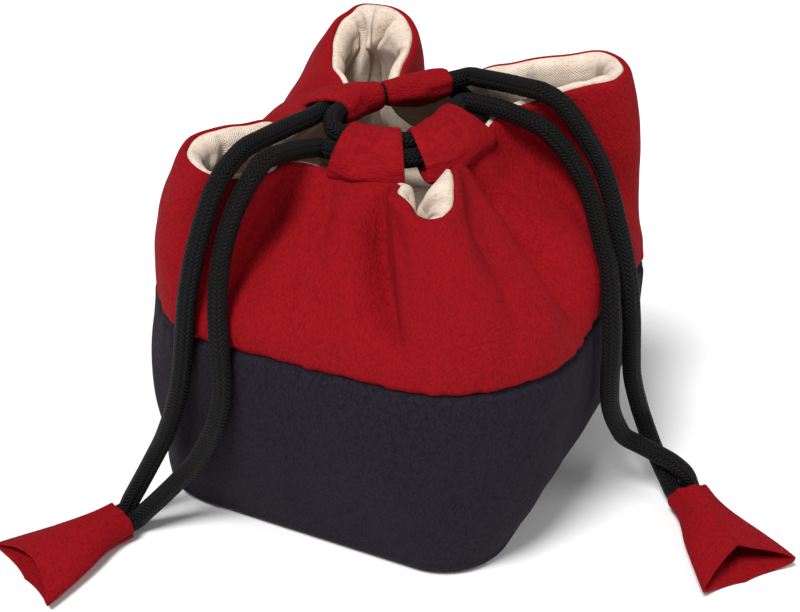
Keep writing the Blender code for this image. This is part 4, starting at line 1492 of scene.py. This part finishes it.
@dataclass
class Tulip:
    """A folded cloth end: a gathered neck that opens into a wide mouth with two tips.

    The neck lies at a place on the ground and the cloth points along its heading, in degrees.
    Length is the distance from neck to mouth, mouth is its width and rise its height. Dip is
    how far the middle of the mouth's upper edge draws back, lip how far the middle of its lower
    edge reaches out, tips how far both tips do, and skew how far one tip passes the other.
    Bend, a stretch past the neck, is not used. Girth is the weave's coordinate once round,
    and far_row the one where the rows are back at their start.
    """

    side: str
    neck_place: tuple[float, float]
    heading: float
    length: float
    mouth: float
    rise: float
    dip: float
    skew: float
    finishes: Wardrobe
    tips: float = 0.0045
    lip: float = 0.0035
    bend: float = 0.0110
    cloth: float = 0.0009
    sides: int = 96
    steps: int = 60
    girth: float = 0.07
    far_row: float = 0.07

    # How far the cloth stands off the two cords in the neck, across and above them
    slack: tuple[float, float] = (0.0009, 0.0012)

    # Shares of the length over which the cloth spreads, its mouth opens and wide creases set in
    spreads: tuple[float, float] = (0.10, 1.12)
    opens: tuple[float, float] = (0.45, 1.0)
    creases_set_in: tuple[float, float] = (0.1, 0.6)

    # The cross section: squarer at the neck by this exponent, and fuller below at the mouth
    neck_square: float = 0.75
    full_below: float = 0.35

    # The ridge of the fold along the upper face, and how much of the face it takes up
    ridge: float = 1.25
    folded: float = 0.85

    # Creases: those gathered at the neck, which fade along the cloth, and wide ones further on
    neck_creases: Relief = Relief(22, 0.05, 0.00065, 61)
    wide_creases: Relief = Relief(9, 0.013, 0.0007, 63)
    crease_fade: float = 2.2
    crease_up: float = 0.8
    crease_run: float = 0.03

    # The least height of the cloth above the ground
    lift: float = 0.0003

    # The bound cord ends: where they start and end past the neck, and their radius as a share
    # of a cord's width
    bound: tuple[float, float] = (0.0002, 0.012)
    bound_share: float = 0.42

    def __post_init__(self) -> None:
        """Works out the neck's place and the directions ahead and across."""
        turned = math.radians(self.heading)
        self.half_wide = GAUGE.cord + 1.5 * GAUGE.cord_gap + self.slack[0]
        self.half_thick = GAUGE.cord / 2 + GAUGE.cord_gap + self.slack[1]
        self.neck = np.array((*self.neck_place, self.half_thick))
        self.ahead = np.array((math.cos(turned), math.sin(turned), 0.0))
        self.across = np.array((-math.sin(turned), math.cos(turned), 0.0))

    def cord_end(self, side: int) -> np.ndarray:
        """The end of one of the two strands, just before the neck."""
        return (self.neck + self.across * (side * (GAUGE.cord + GAUGE.cord_gap) / 2)
                - self.ahead * GAUGE.cord_gap)

    def rings(self, share: np.ndarray, cloth: float) -> np.ndarray:
        """Cross sections: a flat sleeve that spreads, with a ridge along the upper face.

        Args:
            share: shares of the length, one for each section.
            cloth: how far inside the outer face the sections lie.

        Returns:
            An array of sections, corners and coordinates.
        """
        angle = np.linspace(0, 2 * math.pi, self.sides, endpoint=False)[None]
        share = share[:, None]
        spread = ease(share, *self.spreads)
        half = self.half_wide + (self.mouth / 2 - self.half_wide) * spread - cloth
        middle = self.half_thick + (self.rise / 2 - self.half_thick) * spread
        cos, sin = np.cos(angle), np.sin(angle)
        wide = np.sign(cos) * np.abs(cos) ** (self.neck_square + (1 - self.neck_square) * spread)
        from_tip = 1 - np.abs(wide)
        top = (np.maximum(sin, 0) * (1 - self.folded * spread)
               + from_tip * self.ridge * self.folded * spread)
        bottom = -np.abs(sin) ** (1 - self.full_below * spread)
        high = np.where(sin > 0, top, bottom)
        quarter, run = np.broadcast_arrays(angle / (math.pi / 2), share * self.crease_run)
        creases = (self.neck_creases.at(quarter, run) * np.exp(-share * self.crease_fade)
                   + self.wide_creases.at(quarter, run) * ease(share, *self.creases_set_in))
        opened = ease(share, *self.opens)
        edge = np.where(sin > 0, -self.dip * from_tip ** 2, self.lip * from_tip)
        along = self.length * share + opened * (self.tips * wide ** 2 + self.skew * wide + edge)
        rise = middle - cloth + creases * self.crease_up
        level = np.maximum(middle + high * rise, self.lift)
        return (self.neck * LEVEL + self.across * (wide * (half + creases))[..., None]
                + UP * level[..., None] + self.ahead * along[..., None])

    def build(self) -> list[bpy.types.Object]:
        """The cloth and the bound cord ends inside it.

        Returns:
            Both pieces.
        """
        shares = np.linspace(0, 1, self.steps)
        rows = np.concatenate((self.rings(shares, 0.0), self.rings(shares[::-3], self.cloth)))
        around = np.linspace(0, self.girth, self.sides + 1)
        along = np.concatenate((runs_of(rows[:, 0]), [self.far_row]))
        cloth = skin(self.side + "_cloth_end", rows, around, along, closed_rows=True)
        dress(cloth, self.finishes.red, "red_crepe", None, self.side + "_tulip")
        path = np.array([self.neck + self.ahead * run for run in np.linspace(*self.bound, 14)])
        knot = tube(self.side + "_bound_end", path, GAUGE.cord * self.bound_share)
        dress(knot, self.finishes.braid, "black_cord", None, self.side + "_end_knot")
        for piece in (cloth, knot):
            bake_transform(piece)
        return [cloth, knot]


@dataclass
class Cords:
    """The two drawcords: the stretches held in the loops and the four free strands.

    Spacing is the distance between the points that are laid on the wall, and coarse the one
    between the points of a held stretch that strands are laid beside. Straight is how far a
    strand runs on at both ends before it bends. Lead is how far from a loop's mouth the plain
    lead ends, where the plain strand takes over.
    """

    finishes: Wardrobe
    tree: BVHTree
    spacing: float = 0.0060
    coarse: float = 0.004
    straight: float = 0.0030
    lead: float = 0.0032

    # Two distances from a loop's mouth, out towards the cloth end, at which points are worked out and
    # not used
    bend: tuple[float, float] = (0.0050, 0.0140)

    # Rounds of laying a strand; in the first ones its ends are also smoothed
    rounds: int = 26
    soft_rounds: int = 14
    soft_points: int = 5
    softness: float = 0.2

    # The cords' routes, point by point: the corners between the loops, then the four strands
    left_corner: Route = (
        (0.0160, 0.0180, 0.1082), (0.0156, 0.0222, 0.1074), (0.0134, 0.0260, 0.1076),
        (0.0100, 0.0285, 0.1088), (0.0062, 0.0298, 0.1108), (0.0030, 0.0300, 0.1126))
    right_corner: Route = (
        (-0.0190, -0.0058, 0.1123), (-0.0182, -0.0080, 0.1116),
        (-0.0166, -0.0098, 0.1108), (-0.0143, -0.0104, 0.1101))
    left_back: Route = (
        (-0.0263, -0.0140, 0.1130), (-0.0278, -0.0260, 0.1142), (-0.0292, -0.0387, 0.1136),
        (-0.0296, -0.0510, 0.1098), (-0.0319, -0.0584, 0.0972), (-0.0330, -0.0650, 0.0815),
        (-0.0336, -0.0684, 0.0655), (-0.0350, -0.0691, 0.0550), (-0.0378, -0.0690, 0.0450),
        (-0.0438, -0.0675, 0.0310), (-0.0495, -0.0662, 0.0205), (-0.0535, -0.0665, 0.0120),
        (-0.0560, -0.0695, 0.0066))
    left_front: Route = (
        (-0.0205, -0.0160, 0.1073), (-0.0228, -0.0190, 0.1084), (-0.0229, -0.0245, 0.1106),
        (-0.0214, -0.0330, 0.1131), (-0.0210, -0.0425, 0.1128), (-0.0219, -0.0473, 0.1098),
        (-0.0236, -0.0507, 0.1050), (-0.0259, -0.0574, 0.0916), (-0.0238, -0.0650, 0.0783),
        (-0.0214, -0.0690, 0.0660), (-0.0212, -0.0699, 0.0540), (-0.0243, -0.0699, 0.0420),
        (-0.0300, -0.0690, 0.0310), (-0.0365, -0.0686, 0.0205), (-0.0423, -0.0690, 0.0125),
        (-0.0468, -0.0708, 0.0072), (-0.0495, -0.0735, 0.0050))
    right_back: Route = (
        (0.0085, 0.0285, 0.1178), (0.0130, 0.0300, 0.1186), (0.0190, 0.0280, 0.1192),
        (0.0250, 0.0250, 0.1196), (0.0320, 0.0218, 0.1205), (0.0396, 0.0212, 0.1185),
        (0.0455, 0.0218, 0.1128), (0.0495, 0.0228, 0.1065), (0.0535, 0.0240, 0.0990),
        (0.0620, 0.0165, 0.0858), (0.0700, 0.0068, 0.0705), (0.0714, 0.0066, 0.0605),
        (0.0716, 0.0085, 0.0505), (0.0716, 0.0115, 0.0400), (0.0726, 0.0155, 0.0295),
        (0.0752, 0.0177, 0.0190), (0.0785, 0.0165, 0.0105), (0.0820, 0.0132, 0.0056),
        (0.0860, 0.0095, 0.0045))
    right_front: Route = (
        (0.0122, 0.0205, 0.1143), (0.0160, 0.0225, 0.1154), (0.0210, 0.0222, 0.1164),
        (0.0258, 0.0200, 0.1168), (0.0302, 0.0180, 0.1157), (0.0351, 0.0172, 0.1122),
        (0.0409, 0.0185, 0.1073), (0.0463, 0.0190, 0.1013), (0.0512, 0.0180, 0.0945),
        (0.0600, 0.0090, 0.0825), (0.0675, -0.0030, 0.0720), (0.0702, -0.0075, 0.0635),
        (0.0708, -0.0085, 0.0540), (0.0704, -0.0062, 0.0440), (0.0700, -0.0015, 0.0340),
        (0.0713, 0.0030, 0.0255), (0.0745, 0.0066, 0.0185), (0.0795, 0.0100, 0.0135),
        (0.0848, 0.0125, 0.0115), (0.0898, 0.0136, 0.0092))

    # Centre lines of the stretches that are already in place
    placed: list[np.ndarray] = field(default_factory=list)

    def off_wall(self, point: np.ndarray) -> np.ndarray:
        """How far a cord's centre has to move to lie on the wall and above the ground.

        Args:
            point: a point of the cord's centre line.

        Returns:
            The shift: along the nearest face's normal, and up from the ground.
        """
        place, normal, _, distance = self.tree.find_nearest(Vector(point))
        away = (Vector(point) - place).dot(normal)
        radius = GAUGE.cord / 2
        push = np.array(normal) * max(radius - math.copysign(distance, away), 0.0)
        push[2] += max(radius + GAUGE.cord_gap - point[2], 0.0)
        return push

    @staticmethod
    def off_cord(point: np.ndarray, other: np.ndarray) -> np.ndarray:
        """How far a cord's centre has to move to lie beside another cord.

        Args:
            point: a point of the cord's centre line.
            other: the other cord's centre line.

        Returns:
            The shift: away from the other line's nearest point.
        """
        starts, ways = other[:-1], np.diff(other, axis=0)
        shares = np.clip(((point - starts) * ways).sum(1) / (ways * ways).sum(1), 0, 1)
        offsets = point - (starts + ways * shares[:, None])
        distances = np.linalg.norm(offsets, axis=1)
        near = np.argmin(distances)
        return offsets[near] / distances[near] * max(GAUGE.cord - distances[near], 0.0)

    def laid(self, points: np.ndarray) -> np.ndarray:
        """A strand's points, moved until it lies on the wall and beside the other cords.

        Args:
            points: the strand's points.

        Returns:
            The moved points.
        """
        points = np.array(points)
        for number in range(self.rounds):
            for k in range(1, len(points) - 1):
                near_end = min(k, len(points) - 1 - k) < self.soft_points
                soft = self.softness if number < self.soft_rounds and near_end else 0.0
                point = points[k] * (1 - 2 * soft) + (points[k - 1] + points[k + 1]) * soft
                points[k] = point + self.off_wall(point) + sum(
                    self.off_cord(point, other) for other in self.placed)
        return points

    @staticmethod
    def inside(seats: list[LoopSeat], side: int) -> list[np.ndarray]:
        """Nine points on one of the two cords inside two loops of one branch."""
        places = np.linspace(min(s.start for s in seats), max(s.end for s in seats), 9)
        return [seats[0].branch.cord_point(place, side) for place in places]

    def held(self, name: str, before: list[LoopSeat], side: int, corner: Route,
             after: list[LoopSeat]) -> None:
        """The stretch of a cord in the loops and round the corner between them.

        Args:
            name: the cord's side.
            before: the two loops that it runs through first.
            side: its level in the loops.
            corner: points between the two pairs of loops.
            after: the two loops that it runs through last.
        """
        route = self.inside(before, side) + [np.array(point) for point in corner]
        route += self.inside(after, side)
        piece = tube(name + "_drawn_cord", smooth_run(route, CORD_STEP), GAUGE.cord / 2)
        dress(piece, self.finishes.braid, "black_cord", "bag", name + "_held_cord")
        self.placed.append(smooth_run(route, self.coarse))

    def strand(self, name: str, seat: LoopSeat, at_start: bool, side: int, route: Route,
               tulip: Tulip, end_side: int) -> None:
        """A free strand from a loop's mouth down to a cloth end.

        Args:
            name: the strand's name, with the side first.
            seat: the loop it leaves.
            at_start: it leaves where the loop starts.
            side: the cord's level in the loop.
            route: points over the cloth, down the wall and along the ground.
            tulip: the cloth end.
            end_side: which of the two places in the cloth end it takes.
        """
        place = seat.start if at_start else seat.end
        along = seat.branch.frame(place)[1] * (-1 if at_start else 1)
        mouth = seat.branch.cord_point(place, side)
        exit_point = mouth + along * GAUGE.cord_gap
        start = mouth + along * (self.lead + GAUGE.cord_gap)
        end = tulip.cord_end(end_side)
        middle = [start + along * self.straight, *[np.array(point) for point in route],
                  end - tulip.ahead * self.straight]
        points = np.concatenate(([exit_point, start], self.laid(smooth_run(middle, self.spacing)),
                                 [end]))
        self.placed.append(points)
        path = smooth_run(points, CORD_STEP)
        piece = tube(name + "_cord", path, GAUGE.cord / 2)
        dress(piece, self.finishes.braid, "black_cord", None, name + "_lead", name + "_strand")
        outward = unit((tulip.neck - exit_point) * LEVEL)
        tuple(exit_point + outward * self.bend[0])
        tuple(exit_point + outward * self.bend[1])
        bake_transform(piece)
        [tuple(p) for p in path[::3]] + [tuple(path[-1])]

    def build(self, left: Tulip, right: Tulip, left_end: list[bpy.types.Object],
              right_end: list[bpy.types.Object]) -> None:
        """Both cords.

        Args:
            left: the left cloth end.
            right: the right cloth end.
            left_end: not used.
            right_end: not used.
        """
        front, right_seat = SEATS[Side.FRONT], SEATS[Side.RIGHT]
        back, left_seat = SEATS[Side.BACK], SEATS[Side.LEFT]
        self.held("left", [front, right_seat], -1, self.left_corner, [back, left_seat])
        self.held("right", [back, left_seat], 1, self.right_corner, [front, right_seat])
        self.strand("left_back", left_seat, False, -1, self.left_back, left, -1)
        self.strand("left_front", front, True, -1, self.left_front, left, 1)
        self.strand("right_back", back, True, 1, self.right_back, right, -1)
        self.strand("right_front", right_seat, False, 1, self.right_front, right, 1)


# Studio


@dataclass(frozen=True)
class Lamp:
    """A soft even light: where it stands, in degrees, its disc's width in radians, its power."""

    name: str
    azimuth: float
    elevation: float
    spread: float
    power: float


@dataclass(frozen=True)
class Studio:
    """A pale floor, soft light and the camera.

    The camera stands at an azimuth and elevation, in degrees, and at a distance from its
    target. Sky is how strongly the white background lights the pouch.
    """

    azimuth: float = 26.0
    elevation: float = 30.0
    distance: float = 0.460
    lens: float = 67.0
    film: float = 36.0
    near: float = 0.01
    target: Place = (-0.0003, 0.0, 0.051)
    lamps: tuple[Lamp, ...] = (Lamp("key", -8, 60, 0.38, 3.4), Lamp("fill", 100, 40, 0.65, 0.7))
    sky: float = 0.28
    floor_radius: float = 3.0
    floor_corners: int = 96
    floor_colour: Colour = (0.93, 0.93, 0.93, 1.0)
    floor_rough: float = 0.9

    @staticmethod
    def direction(azimuth: float, elevation: float) -> Vector:
        """The direction from the pouch to a place seen at an azimuth and elevation."""
        a, e = math.radians(azimuth), math.radians(elevation)
        return Vector((math.sin(a) * math.cos(e), -math.cos(a) * math.cos(e), math.sin(e)))

    def camera(self) -> None:
        """The camera, which looks at the target from its azimuth and elevation."""
        camera = bpy.data.objects.new("camera", bpy.data.cameras.new("camera"))
        camera.data.lens = self.lens
        camera.data.sensor_width = self.film
        camera.data.clip_start = self.near
        way = self.direction(self.azimuth, self.elevation)
        camera.location = Vector(self.target) + way * self.distance
        camera.rotation_euler = way.to_track_quat("Z", "Y").to_euler()
        bpy.context.scene.collection.objects.link(camera)
        bpy.context.scene.camera = camera

    def light(self) -> None:
        """The lamps."""
        for lamp in self.lamps:
            data = bpy.data.lights.new(lamp.name, "SUN")
            data.energy = lamp.power
            data.angle = lamp.spread
            light = bpy.data.objects.new(lamp.name, data)
            way = self.direction(lamp.azimuth, lamp.elevation)
            light.rotation_euler = way.to_track_quat("Z", "Y").to_euler()
            bpy.context.scene.collection.objects.link(light)

    def world(self) -> None:
        """A white background, dimmer where it only lights the pouch than where it is seen."""
        world = bpy.data.worlds.new("studio")
        bpy.context.scene.world = world
        world.use_nodes = True
        tree = world.node_tree
        back = tree.nodes["Background"]
        back.inputs[0].default_value = (1.0, 1.0, 1.0, 1.0)
        path = tree.nodes.new("ShaderNodeLightPath")
        seen = tree.nodes.new("ShaderNodeMath")
        seen.operation = "MULTIPLY_ADD"
        seen.inputs[1].default_value = 1 - self.sky
        seen.inputs[2].default_value = self.sky
        tree.links.new(path.outputs["Is Camera Ray"], seen.inputs[0])
        tree.links.new(seen.outputs[0], back.inputs[1])

    def floor(self) -> None:
        """A large pale disc on the ground."""
        angle = np.linspace(0, 2 * math.pi, self.floor_corners, endpoint=False)
        rim = np.stack((np.cos(angle), np.sin(angle), 0 * angle), -1) * self.floor_radius
        mesh = bpy.data.meshes.new("floor")
        mesh.from_pydata(rim.tolist(), [], [list(range(self.floor_corners))])
        floor = bpy.data.objects.new("floor", mesh)
        bpy.context.scene.collection.objects.link(floor)
        sheet = Sheet("floor")
        sheet.feed(sheet.shader.inputs["Base Color"], self.floor_colour)
        sheet.feed(sheet.shader.inputs["Roughness"], self.floor_rough)
        sheet.feed(sheet.shader.inputs["Specular IOR Level"], 0.0)
        mesh.materials.append(sheet.material)

    def build(self) -> None:
        """Camera, lamps, world and floor."""
        bpy.context.scene.view_settings.view_transform = "Standard"
        self.camera()
        self.light()
        self.world()
        self.floor()


def main() -> None:
    """Builds the studio, the bag, its loops, its cloth ends and its cords."""
    logging.basicConfig(level=logging.INFO, format="%(message)s")
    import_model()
    Studio().build()
    finishes = Wardrobe()
    wall = Wall()
    Bag(wall, finishes).build()
    Loops(finishes).build()
    left = Tulip("left", neck_place=(-0.0546, -0.0783), heading=248, length=0.0292, mouth=0.0345,
                 rise=0.0062, dip=0.0, skew=0.0012, finishes=finishes)
    right = Tulip("right", neck_place=(0.0940, 0.0065), heading=-46, length=0.0325, mouth=0.0330,
                  rise=0.0088, dip=0.0030, skew=-0.0020, finishes=finishes)
    left_end, right_end = left.build(), right.build()
    Cords(finishes, wall.tree()).build(left, right, left_end, right_end)
    bpy.context.view_layer.update()


if __name__ == "__main__":
    main()
